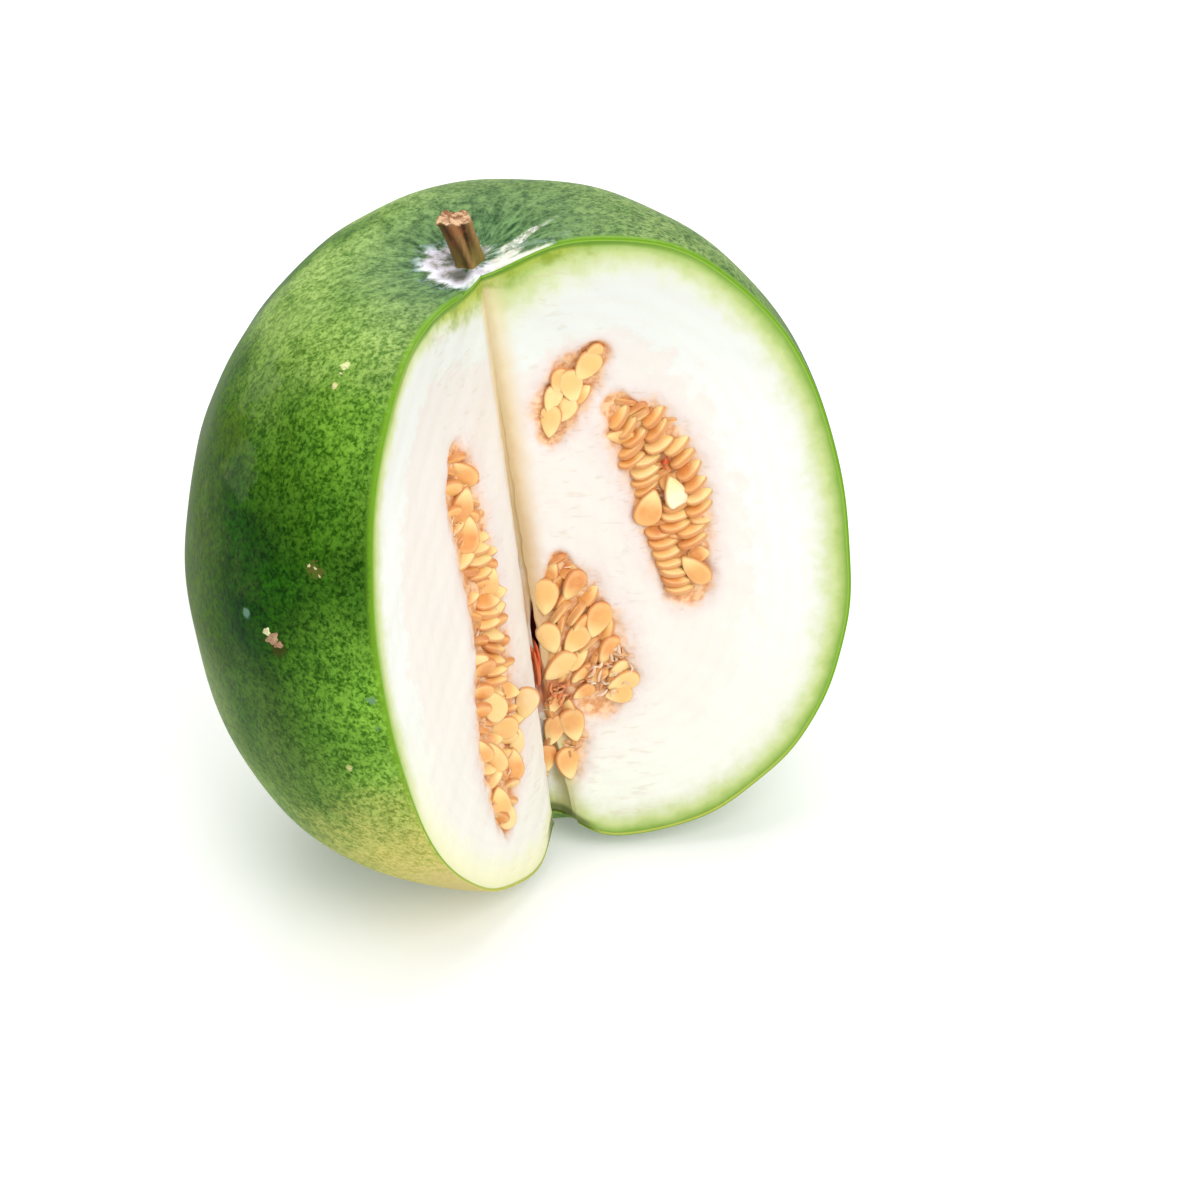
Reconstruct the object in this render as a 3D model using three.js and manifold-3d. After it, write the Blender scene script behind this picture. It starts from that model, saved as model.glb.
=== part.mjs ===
// A round winter melon, the wax gourd, with one wedge cut out of it from stem to base.
// It leans a little to its left and rests on a small flat spot of its base.
// Lengths are millimetres, +Z is up, and the open notch faces -Y.

import * as THREE from 'three';
import { mergeVertices } from 'three/addons/utils/BufferGeometryUtils.js';
import Module from 'manifold-3d';

const wasm = await Module();
wasm.setup();

// Body: a squarish ball on its own upright axis, measured from the level of the girth
const GIRTH_RADIUS = 110;
const TOP = { rise: 122.7, fullness: 0.888 };
const BASE = { rise: 113.2, fullness: 0.834 };
const SIDE_LOBES = [
  { count: 2, cosine: -0.001, sine: -0.010 },
  { count: 3, cosine: -0.023, sine: -0.028 },
];
const BOW = { x: -4.2, y: -1.4, reach: 115 };
const SKIN_RINGS = 42;
const SKIN_SIDES = 72;
const RING_CROWDING = 0.45;

// The two ends are drawn in round the stem and round the blossom scar. A low shoulder rises beside the stem.
const STEM_DIMPLE = { x: -5.1, y: -3.8, depth: 16.1, width: 38.4 };
const SHOULDER = { x: 20, y: -6, depth: -2.6, width: 17 };
const BLOSSOM_DIMPLE = { x: -0.7, y: -28.6, depth: 6, width: 34 };
const BLOSSOM_PIT = { x: -0.7, y: -28.6, depth: 13, width: 11.5 };

// The wedge: both cuts meet on a root line, at these azimuths from -Y towards +X
const ROOT = { x: 0.2, y: -19.4, slopeX: -0.014, slopeY: 0.102 };
const LEFT_AZIMUTH = THREE.MathUtils.degToRad(-25);
const RIGHT_AZIMUTH = THREE.MathUtils.degToRad(97.3);
const CUT_REACH = 200;
const CUT_TOP = 140;
const CUT_BOTTOM = -140;

// The root of the notch is a rounded gutter, and a torn slot opens in its lower half
const GUTTER = { topRadius: 1.8, bottomRadius: 5.0, bow: 1.2, stations: 9 };
const SLOT = { top: -10, bottom: -50, halfWidth: 2.6, depth: 10, setIn: 3, stations: 7 };
const ROUND_SIDES = 8;

// Seeds are flat, with one pointed end
const SEED = { length: 12.6, width: 8.6, thickness: 3.0, bevel: 0.72, taper: 0.3, sides: 6 };
const BED_DEPTH = 2.4;
const EDGE_SEED = { size: 0.86, thickness: 1.1 };
const EDGE_TILT = { middle: THREE.MathUtils.degToRad(-72), spread: THREE.MathUtils.degToRad(15) };

// How the melon stands
const LEAN = THREE.MathUtils.degToRad(6.3);
const FOOT_TRIM = 3.6;

// The stem stub is ribbed, flares to its cut end and leans to the left, bending as it rises
const STEM = {
  x: -4.5, y: 1.8, baseRadius: 4.8, waistRadius: 4.6, endRadius: 6.0, ribs: 5, ribDepth: 0.5, ribTwist: 2,
  sunk: 4, length: 20, leanX: -3.9, leanY: 1.2, bend: 1.3, sides: 20, stations: 7,
};
const SOCKET_GAP = 0.35;

const COLOURS = { flesh: '#f7f2e2', stem: '#7a5f39' };

// Bell curve that both dimples and the pit follow
function bell(distance, width) {
  return Math.exp(-((distance / width) ** 2));
}

function hollow(dimple, x, y) {
  return dimple.depth * bell(Math.hypot(x - dimple.x, y - dimple.y), dimple.width);
}

// Point of the skin at a polar angle from the stem end and an azimuth from -Y towards +X
function skinPoint(polar, azimuth) {
  const cosine = Math.cos(polar);
  const end = cosine >= 0 ? TOP : BASE;
  let lobes = 1;
  for (const lobe of SIDE_LOBES) {
    lobes += lobe.cosine * Math.cos(lobe.count * azimuth) + lobe.sine * Math.sin(lobe.count * azimuth);
  }
  const radius = GIRTH_RADIUS * lobes * Math.max(Math.sin(polar), 0) ** end.fullness;
  const x = radius * Math.sin(azimuth);
  const y = -radius * Math.cos(azimuth);
  const rise = end.rise * Math.abs(cosine) ** end.fullness;
  const z = cosine >= 0
    ? rise - hollow(STEM_DIMPLE, x, y) - hollow(SHOULDER, x, y)
    : hollow(BLOSSOM_DIMPLE, x, y) + hollow(BLOSSOM_PIT, x, y) - rise;
  const bow = 1 - (z / BOW.reach) ** 2;
  return new THREE.Vector3(x + BOW.x * bow, y + BOW.y * bow, z);
}

// A closed surface from rings of points, each ring running the same way round, with a point at each end
function closedRings(rings, first, last) {
  const sides = rings[0].length;
  const points = [first, ...rings.flat(), last];
  const positions = points.flatMap((point) => point.toArray());
  const index = [];
  for (let side = 0; side < sides; side += 1) {
    const next = (side + 1) % sides;
    index.push(0, 1 + side, 1 + next);
    for (let ring = 0; ring < rings.length - 1; ring += 1) {
      const here = 1 + ring * sides;
      const below = here + sides;
      index.push(here + side, below + side, below + next, here + side, below + next, here + next);
    }
    const end = 1 + (rings.length - 1) * sides;
    index.push(end + side, points.length - 1, end + next);
  }
  const geometry = new THREE.BufferGeometry();
  geometry.setAttribute('position', new THREE.Float32BufferAttribute(positions, 3));
  geometry.setIndex(index);
  return geometry;
}

// Signed volume of a closed geometry, below zero where its faces point inwards
function signedVolume(geometry) {
  const position = geometry.getAttribute('position');
  const corners = geometry.index.array;
  const [a, b, c] = [new THREE.Vector3(), new THREE.Vector3(), new THREE.Vector3()];
  let sum = 0;
  for (let i = 0; i < corners.length; i += 3) {
    a.fromBufferAttribute(position, corners[i]);
    b.fromBufferAttribute(position, corners[i + 1]);
    c.fromBufferAttribute(position, corners[i + 2]);
    sum += a.dot(b.cross(c)) / 6;
  }
  return sum;
}

// Solid for joining and cutting, from a closed geometry of either winding
function toSolid(source) {
  const bare = source.clone();
  bare.deleteAttribute('normal');
  bare.deleteAttribute('uv');
  const merged = mergeVertices(bare, 1e-4);
  const triVerts = new Uint32Array(merged.index.array);
  if (signedVolume(merged) < 0) {
    for (let i = 0; i < triVerts.length; i += 3) {
      [triVerts[i], triVerts[i + 1]] = [triVerts[i + 1], triVerts[i]];
    }
  }
  const vertProperties = new Float32Array(merged.getAttribute('position').array);
  return new wasm.Manifold(new wasm.Mesh({ numProp: 3, vertProperties, triVerts }));
}

function toGeometry(solid) {
  const mesh = solid.getMesh();
  const geometry = new THREE.BufferGeometry();
  geometry.setAttribute('position', new THREE.BufferAttribute(new Float32Array(mesh.vertProperties), 3));
  geometry.setIndex(new THREE.BufferAttribute(new Uint32Array(mesh.triVerts), 1));
  geometry.computeVertexNormals();
  return geometry;
}

// A rod whose stations each give a centre and two half-axes of an ellipse
function sweptRod(stations, sides = ROUND_SIDES) {
  const rings = stations.map(({ centre, across, deep, section = () => 1 }) => {
    const ring = [];
    for (let side = 0; side < sides; side += 1) {
      const angle = (2 * Math.PI * side) / sides;
      ring.push(centre.clone()
        .addScaledVector(across, Math.cos(angle) * section(angle))
        .addScaledVector(deep, Math.sin(angle) * section(angle)));
    }
    return ring;
  });
  return closedRings(rings, stations[0].centre, stations[stations.length - 1].centre);
}

// The whole melon before it is cut. Rings crowd towards both ends, where the dimples are.
function wholeMelon() {
  const crowded = (share) => share - (RING_CROWDING * Math.sin(2 * Math.PI * share)) / (2 * Math.PI);
  const rings = [];
  for (let ring = 1; ring < SKIN_RINGS; ring += 1) {
    const polar = Math.PI * crowded(ring / SKIN_RINGS);
    rings.push(Array.from({ length: SKIN_SIDES }, (_, side) => (
      skinPoint(polar, (2 * Math.PI * side) / SKIN_SIDES)
    )));
  }
  return toSolid(closedRings(rings, skinPoint(0, 0), skinPoint(Math.PI, 0)));
}

function rootPoint(z) {
  return new THREE.Vector3(ROOT.x + ROOT.slopeX * z, ROOT.y + ROOT.slopeY * z, z);
}

function heading(azimuth) {
  return new THREE.Vector3(Math.sin(azimuth), -Math.cos(azimuth), 0);
}

// A cut face: s runs level from the root, z is the height, and out points into the notch
function cutFace(azimuth, turn) {
  const along = heading(azimuth);
  const up = new THREE.Vector3(ROOT.slopeX, ROOT.slopeY, 1).normalize();
  const out = new THREE.Vector3().crossVectors(along, up).multiplyScalar(turn).normalize();
  return {
    along, up, out,
    at: (s, z, lift = 0) => rootPoint(z).addScaledVector(along, s).addScaledVector(out, lift),
  };
}

const LEFT_FACE = cutFace(LEFT_AZIMUTH, -1);
const RIGHT_FACE = cutFace(RIGHT_AZIMUTH, 1);

// The wedge that is taken out, a three-sided column along the root
function wedge() {
  const corners = (z) => [
    rootPoint(z),
    rootPoint(z).addScaledVector(RIGHT_FACE.along, CUT_REACH),
    rootPoint(z).addScaledVector(LEFT_FACE.along, CUT_REACH),
  ];
  const ends = [corners(CUT_BOTTOM), corners(CUT_TOP)];
  const middle = (ring) => ring[0].clone().add(ring[1]).add(ring[2]).divideScalar(3);
  return toSolid(closedRings(ends, middle(ends[0]), middle(ends[1])));
}

const NOTCH_MIDDLE = (LEFT_AZIMUTH + RIGHT_AZIMUTH) / 2;
const INWARD = heading(NOTCH_MIDDLE).negate();
const ACROSS = heading(NOTCH_MIDDLE + Math.PI / 2);

// The gutter runs down the root and bows sideways at mid height
function gutter() {
  const stations = [];
  for (let i = 0; i < GUTTER.stations; i += 1) {
    const share = i / (GUTTER.stations - 1);
    const z = THREE.MathUtils.lerp(CUT_TOP, CUT_BOTTOM, share);
    const radius = THREE.MathUtils.lerp(GUTTER.topRadius, GUTTER.bottomRadius, share ** 2);
    const bow = GUTTER.bow * Math.sin(Math.PI * share);
    stations.push({
      centre: rootPoint(z).addScaledVector(ACROSS, -bow),
      across: ACROSS.clone().multiplyScalar(radius),
      deep: INWARD.clone().multiplyScalar(radius),
    });
  }
  return toSolid(sweptRod(stations));
}

// The torn slot is a long almond set into the gutter
function slot() {
  const stations = [];
  for (let i = 0; i < SLOT.stations; i += 1) {
    const share = (i + 0.5) / SLOT.stations;
    const swell = Math.sin(Math.PI * share);
    const z = THREE.MathUtils.lerp(SLOT.top, SLOT.bottom, share);
    stations.push({
      centre: rootPoint(z).addScaledVector(INWARD, SLOT.setIn),
      across: ACROSS.clone().multiplyScalar(SLOT.halfWidth * swell),
      deep: INWARD.clone().multiplyScalar(SLOT.depth * swell),
    });
  }
  return toSolid(sweptRod(stations));
}

// Seed beds are shallow hollows along a line on a cut face: points are [s, z, half width]
const BEDS = [
  { face: RIGHT_FACE, points: [[34, 74, 5], [26, 67, 9], [18, 56, 9], [15, 48, 4]] },
  {
    face: RIGHT_FACE,
    points: [
      [38, 54, 5], [44, 45, 11], [50, 32, 12], [51.5, 14, 12], [52, -3, 10.5], [53, -14, 8], [54, -18, 4],
    ],
  },
  { face: RIGHT_FACE, points: [[12, 2, 4], [12, -12, 11], [15, -28, 15], [18, -42, 14], [18, -50, 9]] },
  { face: RIGHT_FACE, points: [[5, -50, 5], [4, -62, 9], [2, -74, 8], [1, -79, 4]] },
  {
    face: LEFT_FACE,
    points: [
      [32, 60, 4], [31, 50, 9], [30, 36, 10], [28, 14, 10], [27, -8, 10],
      [30, -28, 12], [31, -46, 13], [33, -64, 8], [34, -74, 3],
    ],
  },
];

function bed({ face, points }) {
  const stations = points.map(([s, z, halfWidth], i) => {
    const before = points[Math.max(i - 1, 0)];
    const after = points[Math.min(i + 1, points.length - 1)];
    const run = new THREE.Vector2(after[0] - before[0], after[1] - before[1]).normalize();
    return {
      centre: face.at(s, z),
      across: face.along.clone().multiplyScalar(run.y * halfWidth)
        .addScaledVector(face.up, -run.x * halfWidth),
      deep: face.out.clone().multiplyScalar(BED_DEPTH),
    };
  });
  return toSolid(sweptRod(stations));
}

// Rows of seeds that stand on edge, one above the other: ends are [s, z, spin in degrees]
const EDGE_ROWS = [
  { face: RIGHT_FACE, count: 3, from: [38.3, 50, 50], to: [42.8, 42, 24] },
  { face: RIGHT_FACE, count: 2, from: [40.8, 38, 26], to: [40.4, 34, 20] },
  { face: RIGHT_FACE, count: 3, from: [45, 33.5, 2], to: [44.2, 26, 6] },
  { face: RIGHT_FACE, count: 4, from: [46.3, 6.7, -4], to: [49, -5.1, -10] },
  { face: RIGHT_FACE, count: 3, from: [49.3, -8.5, -20], to: [50.5, -15.5, -10] },
  { face: RIGHT_FACE, count: 3, from: [49.7, 48.4, 44], to: [50, 38.2, 14] },
  { face: RIGHT_FACE, count: 4, from: [55.9, 36.7, 30], to: [60.3, 22.5, 24] },
  { face: RIGHT_FACE, count: 2, from: [60.8, 17.5, 12], to: [60.5, 13, 8] },
  { face: RIGHT_FACE, count: 3, from: [53.2, 15.6, 2], to: [51.8, 8.2, -5] },
  { face: RIGHT_FACE, count: 2, from: [57, 5.5, 12], to: [57, 1.4, 6] },
  { face: LEFT_FACE, count: 3, from: [27.5, 25, 200], to: [28, 16.5, 196] },
  { face: LEFT_FACE, count: 3, from: [26, 4.5, 205], to: [28, -2, 200] },
  { face: LEFT_FACE, count: 5, from: [25.6, -8, 218], to: [29.4, -23, 205] },
];

// Seeds that show a flat side: [s, z, spin in degrees, share of the full length]
const FLAT_SEEDS = [
  { face: RIGHT_FACE, s: 30.2, z: 70, spin: 229, size: 1 },
  { face: RIGHT_FACE, s: 24, z: 64, spin: 272, size: 1 },
  { face: RIGHT_FACE, s: 17.4, z: 60.5, spin: 244, size: 0.85 },
  { face: RIGHT_FACE, s: 15.8, z: 52.8, spin: 258, size: 0.95 },
  { face: RIGHT_FACE, s: 44, z: 16, spin: 69, size: 1.15 },
  { face: RIGHT_FACE, s: 53.6, z: 21.1, spin: 74, size: 0.9 },
  { face: RIGHT_FACE, s: 57.4, z: -8.8, spin: 124, size: 1.05 },
  { face: RIGHT_FACE, s: 5.8, z: -10.3, spin: 261, size: 1.1 },
  { face: RIGHT_FACE, s: 15.6, z: -7.7, spin: 234, size: 1 },
  { face: RIGHT_FACE, s: 9.4, z: -18, spin: 224, size: 0.95 },
  { face: RIGHT_FACE, s: 15.2, z: -18.1, spin: 224, size: 1.05 },
  { face: RIGHT_FACE, s: 22.3, z: -22, spin: 246, size: 1.1 },
  { face: RIGHT_FACE, s: 5.1, z: -26, spin: 280, size: 1 },
  { face: RIGHT_FACE, s: 14, z: -28.3, spin: 224, size: 0.95 },
  { face: RIGHT_FACE, s: 7.4, z: -37.3, spin: 214, size: 1.15 },
  { face: RIGHT_FACE, s: 24.4, z: -34.3, spin: 235, size: 1 },
  { face: RIGHT_FACE, s: 28, z: -47, spin: 192, size: 0.95 },
  { face: RIGHT_FACE, s: 2.3, z: -59.8, spin: 264, size: 1.1 },
  { face: RIGHT_FACE, s: 8, z: -61.2, spin: 258, size: 1.1 },
  { face: RIGHT_FACE, s: 4.9, z: -74.4, spin: 271, size: 1 },
  { face: RIGHT_FACE, s: 25.9, z: -51.5, spin: 176, size: 0.8 },
  { face: RIGHT_FACE, s: 20.4, z: -43.5, spin: 214, size: 0.8 },
  { face: RIGHT_FACE, s: 14.2, z: -48.4, spin: 200, size: 0.7 },
  { face: LEFT_FACE, s: 28.5, z: 52.5, spin: 60, size: 1.05 },
  { face: LEFT_FACE, s: 32, z: 42.5, spin: 107, size: 1.05 },
  { face: LEFT_FACE, s: 31.5, z: 32, spin: 105, size: 1.05 },
  { face: LEFT_FACE, s: 22, z: 9, spin: 112, size: 0.85 },
  { face: LEFT_FACE, s: 32.2, z: -30.5, spin: 64, size: 1.15 },
  { face: LEFT_FACE, s: 28.1, z: -41.8, spin: 15, size: 1 },
  { face: LEFT_FACE, s: 36.2, z: -48.1, spin: 81, size: 1.05 },
  { face: LEFT_FACE, s: 25, z: -58, spin: 96, size: 1 },
  { face: LEFT_FACE, s: 35.6, z: -63.6, spin: 92, size: 1 },
  { face: LEFT_FACE, s: 10.7, z: -42.8, spin: 300, size: 1.15 },
];

// How far a seed's middle lies above the cut, and how far left-face seeds turn to the open side
const FLAT_LIFT = -0.9;
const EDGE_LIFT = -1.6;
const FLAT_TIP = THREE.MathUtils.degToRad(9);
const LEFT_SWING = THREE.MathUtils.degToRad(42);
const SPIN_WOBBLE = { flat: 3, onEdge: 7 };

// Repeatable draw between -1 and 1 for the seed of a given number
function wobble(number, channel) {
  const wave = Math.sin(number * 12.9898 + channel * 78.233) * 43758.5453;
  return 2 * (wave - Math.floor(wave)) - 1;
}

// Outline of a seed, narrowing to its point at +X, bevelled on both sides
function seedGeometry() {
  const ring = (share, height) => Array.from({ length: SEED.sides }, (_, side) => {
    const angle = (2 * Math.PI * side) / SEED.sides;
    const narrowing = 1 - SEED.taper * Math.cos(angle);
    return new THREE.Vector3(
      (share * SEED.length * Math.cos(angle)) / 2,
      (share * SEED.width * narrowing * Math.sin(angle)) / 2,
      height,
    );
  });
  const half = SEED.thickness / 2;
  const rings = [ring(SEED.bevel, half), ring(1, 0), ring(SEED.bevel, -half)];
  return closedRings(rings, new THREE.Vector3(0, 0, half), new THREE.Vector3(0, 0, -half));
}

function placedSeed(shape, number, { face, s, z, spin, size, onEdge }) {
  const degrees = spin + (onEdge ? SPIN_WOBBLE.onEdge : SPIN_WOBBLE.flat) * wobble(number, 1);
  const turn = THREE.MathUtils.degToRad(degrees);
  const pointed = face.along.clone().multiplyScalar(Math.cos(turn)).addScaledVector(face.up, Math.sin(turn));
  const tilt = onEdge
    ? EDGE_TILT.middle + EDGE_TILT.spread * wobble(number, 2)
    : FLAT_TIP * wobble(number, 3);
  const normal = face.out.clone().applyAxisAngle(pointed, tilt);
  if (face === LEFT_FACE) {
    normal.applyAxisAngle(face.up, -LEFT_SWING);
    pointed.applyAxisAngle(face.up, -LEFT_SWING);
  }
  normal.addScaledVector(pointed, -normal.dot(pointed)).normalize();
  const side = new THREE.Vector3().crossVectors(normal, pointed);
  const matrix = new THREE.Matrix4().makeBasis(pointed, side, normal);
  matrix.scale(new THREE.Vector3(size, size, onEdge ? EDGE_SEED.thickness : 1));
  matrix.setPosition(face.at(s, z, onEdge ? EDGE_LIFT : FLAT_LIFT));
  return toSolid(shape.clone().applyMatrix4(matrix));
}

function allSeeds() {
  const list = FLAT_SEEDS.map((seed) => ({ ...seed, onEdge: false }));
  for (const { face, count, from, to } of EDGE_ROWS) {
    for (let i = 0; i < count; i += 1) {
      const share = count === 1 ? 0 : i / (count - 1);
      const [s, z, spin] = from.map((value, k) => THREE.MathUtils.lerp(value, to[k], share));
      list.push({ face, s, z, spin, size: EDGE_SEED.size, onEdge: true });
    }
  }
  const shape = seedGeometry();
  return list.map((seed, number) => placedSeed(shape, number, seed));
}

// The stem stub stands in the top dimple. A larger copy cuts its socket.
function stemRod(clearance) {
  const foot = skinFloor(STEM.x, STEM.y);
  const stations = [];
  for (let i = 0; i < STEM.stations; i += 1) {
    const share = i / (STEM.stations - 1);
    const radius = share < 0.5
      ? THREE.MathUtils.lerp(STEM.baseRadius, STEM.waistRadius, share * 2)
      : THREE.MathUtils.lerp(STEM.waistRadius, STEM.endRadius, (share * 2 - 1) ** 2);
    const centre = new THREE.Vector3(
      STEM.x + STEM.leanX * share ** STEM.bend,
      STEM.y + STEM.leanY * share,
      foot - STEM.sunk - (i === 0 ? clearance : 0) + STEM.length * share,
    );
    stations.push({
      centre,
      across: new THREE.Vector3(radius + clearance, 0, 0),
      deep: new THREE.Vector3(0, radius + clearance, 0),
      section: (angle) => 1 + (STEM.ribDepth / radius) * Math.cos(STEM.ribs * angle + STEM.ribTwist * share),
    });
  }
  return toSolid(sweptRod(stations, STEM.sides));
}

// Height of the skin inside the stem dimple, near the upright axis
function skinFloor(x, y) {
  return TOP.rise - hollow(STEM_DIMPLE, x, y);
}

function standing(solid) {
  const matrix = new THREE.Matrix4().makeRotationY(-LEAN);
  return toSolid(toGeometry(solid).applyMatrix4(matrix));
}

// Everything below the resting level goes, which leaves the flat spot
function trimFoot(solid) {
  const lowest = solid.boundingBox().min[2];
  const slab = new THREE.BoxGeometry(4 * GIRTH_RADIUS, 4 * GIRTH_RADIUS, GIRTH_RADIUS);
  slab.translate(0, 0, lowest + FOOT_TRIM - GIRTH_RADIUS / 2);
  return solid.subtract(toSolid(slab));
}

let flesh = wholeMelon().subtract(wedge()).subtract(gutter()).subtract(slot());
for (const place of BEDS) {
  flesh = flesh.subtract(bed(place));
}
for (const seed of allSeeds()) {
  flesh = flesh.add(seed);
}
flesh = flesh.subtract(stemRod(SOCKET_GAP));

const melon = new THREE.Group();
const bodyMesh = new THREE.Mesh(
  toGeometry(trimFoot(standing(flesh))),
  new THREE.MeshStandardMaterial({ color: COLOURS.flesh, roughness: 0.5, metalness: 0 }),
);
bodyMesh.name = 'melon';
melon.add(bodyMesh);

const stemMesh = new THREE.Mesh(
  toGeometry(standing(stemRod(0))),
  new THREE.MeshStandardMaterial({ color: COLOURS.stem, roughness: 0.85, metalness: 0 }),
);
stemMesh.name = 'stem';
melon.add(stemMesh);

// The origin is the middle of the outline on the ground
const outline = new THREE.Box3().setFromObject(melon);
const middle = outline.getCenter(new THREE.Vector3());
melon.position.set(-middle.x, -middle.y, -outline.min.z);

export default melon;
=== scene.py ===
"""Looks of the cut winter melon: mottled rind, moist flesh, seeds in their pulp, waxy dimple and dry stem.

Shapes are worked out in millimetres in the melon's own upright frame. They are then set into the part's frame
in metres, where the melon leans a little to its left and rests on its foot.
"""

import logging
import math
from dataclasses import dataclass, replace
from enum import Enum

import bpy
import numpy as np
from numpy.typing import NDArray
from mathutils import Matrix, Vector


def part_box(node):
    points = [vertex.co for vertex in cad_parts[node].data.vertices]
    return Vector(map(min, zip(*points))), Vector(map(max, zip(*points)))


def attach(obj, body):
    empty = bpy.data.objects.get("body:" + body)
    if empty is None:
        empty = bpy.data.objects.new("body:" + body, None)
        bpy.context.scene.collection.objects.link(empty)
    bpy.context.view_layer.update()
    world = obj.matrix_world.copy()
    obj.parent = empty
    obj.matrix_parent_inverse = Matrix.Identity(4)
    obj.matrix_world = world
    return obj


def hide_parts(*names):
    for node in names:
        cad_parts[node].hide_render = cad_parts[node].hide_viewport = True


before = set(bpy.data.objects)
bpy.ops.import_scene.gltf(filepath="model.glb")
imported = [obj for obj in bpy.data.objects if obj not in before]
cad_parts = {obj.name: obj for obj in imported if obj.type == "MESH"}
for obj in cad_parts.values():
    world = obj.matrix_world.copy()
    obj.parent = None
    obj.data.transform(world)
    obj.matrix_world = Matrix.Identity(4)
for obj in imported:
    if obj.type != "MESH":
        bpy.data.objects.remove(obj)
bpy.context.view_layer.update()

Array = NDArray[np.float64]
Colour = tuple[float, float, float, float]
Piece = bpy.types.Object
Socket = bpy.types.NodeSocket
Value = float | tuple | Socket
Paint = tuple[Value, Value | None, tuple]

LOG = logging.getLogger("winter_melon")
MM = 0.001
FAR = 9.0


# Small mathematics that several pieces share


def smooth_step(low: float, high: float, value: Array) -> Array:
    """Ease from 0 at low to 1 at high, as 3q² - 2q³ of the share q that is passed.

    Args:
        low: Value where the ease starts.
        high: Value where it ends.
        value: Numbers to ease.

    Returns:
        The eased shares, from 0 to 1.
    """
    q = np.clip((value - low) / (high - low), 0.0, 1.0)
    return q * q * (3.0 - 2.0 * q)


def bell(distance: Array, width: float) -> Array:
    """Bell curve exp(-(distance / width)²)."""
    return np.exp(-((distance / width) ** 2))


def lattice_noise(points: Array, cell: float, seed: int) -> Array:
    """Smooth repeatable noise: hashed values at the corners of cubes, blended by the eased place in a cube.

    Args:
        points: Points as rows of three.
        cell: Width of a cube.
        seed: Number that picks the pattern.

    Returns:
        One number a point, from -1 to 1.
    """
    scaled = points / cell
    corner = np.floor(scaled).astype(np.int64)
    share = scaled - corner
    share = share * share * (3.0 - 2.0 * share)
    total = np.zeros(points.shape[:-1])
    for offset in np.ndindex(2, 2, 2):
        lattice = corner + np.array(offset)
        weight = np.prod(np.where(np.array(offset) == 1, share, 1.0 - share), axis=-1)
        key = lattice @ np.array([73856093, 19349663, 83492791]) + seed * 2654435761
        key = (key ^ (key >> 13)) * 1274126177 & 0x7FFFFFFF
        total += weight * ((key >> 8) % 65536 / 32767.5 - 1.0)
    return total


def ripples(points: Array, shortest: float, longest: float, count: int, seed: int) -> Array:
    """Soft unevenness: sine waves in seeded directions, of lengths between two bounds, summed and levelled.

    Args:
        points: Points as rows of three.
        shortest: Length of the shortest wave.
        longest: Length of the longest wave.
        count: How many waves are summed.
        seed: Number that picks the waves.

    Returns:
        One number a point, about -1 to 1.
    """
    draw = np.random.default_rng(seed)
    heading = draw.normal(size=(count, 3))
    heading /= np.linalg.norm(heading, axis=1, keepdims=True)
    length = draw.uniform(shortest, longest, count)
    phase = draw.uniform(0.0, 2.0 * np.pi, count)
    waves = np.sin(points @ (heading / length[:, None]).T * 2.0 * np.pi + phase)
    return waves.sum(axis=-1) / math.sqrt(count)


def roughness(points: Array, *layers: tuple[float, float, int]) -> Array:
    """Sum of lattice noises, each given as (height, cell, seed)."""
    return sum(height * lattice_noise(points, cell, seed) for height, cell, seed in layers)


def turned(vectors: Array, axes: Array, angles: Array) -> Array:
    """Vectors turned round axes by Rodrigues' formula v cos a + (k × v) sin a + k (k · v)(1 - cos a).

    Args:
        vectors: Vectors as rows.
        axes: Unit axes, one a vector or one for all.
        angles: Angles in radians, one a vector.

    Returns:
        The turned vectors.
    """
    axes = np.broadcast_to(axes, vectors.shape)
    cosine, sine = np.cos(angles)[:, None], np.sin(angles)[:, None]
    along = (vectors * axes).sum(axis=1, keepdims=True)
    return vectors * cosine + np.cross(axes, vectors) * sine + axes * along * (1.0 - cosine)


def unit(vectors: Array) -> Array:
    """Vectors at length one."""
    return vectors / np.linalg.norm(vectors, axis=-1, keepdims=True)


def grid_faces(rows: int, columns: int, start: int = 0, ring: bool = False) -> Array:
    """Quads of a grid whose points are numbered row by row.

    Args:
        rows: Points down.
        columns: Points across.
        start: Number of the first point.
        ring: Whether the last column joins the first.

    Returns:
        Corner numbers, four a quad.
    """
    number = start + np.arange(rows * columns).reshape(rows, columns)
    if ring:
        number = np.concatenate([number, number[:, :1]], axis=1)
    quads = np.stack([number[:-1, :-1], number[1:, :-1], number[1:, 1:], number[:-1, 1:]], axis=-1)
    return quads.reshape(-1, 4)


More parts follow.
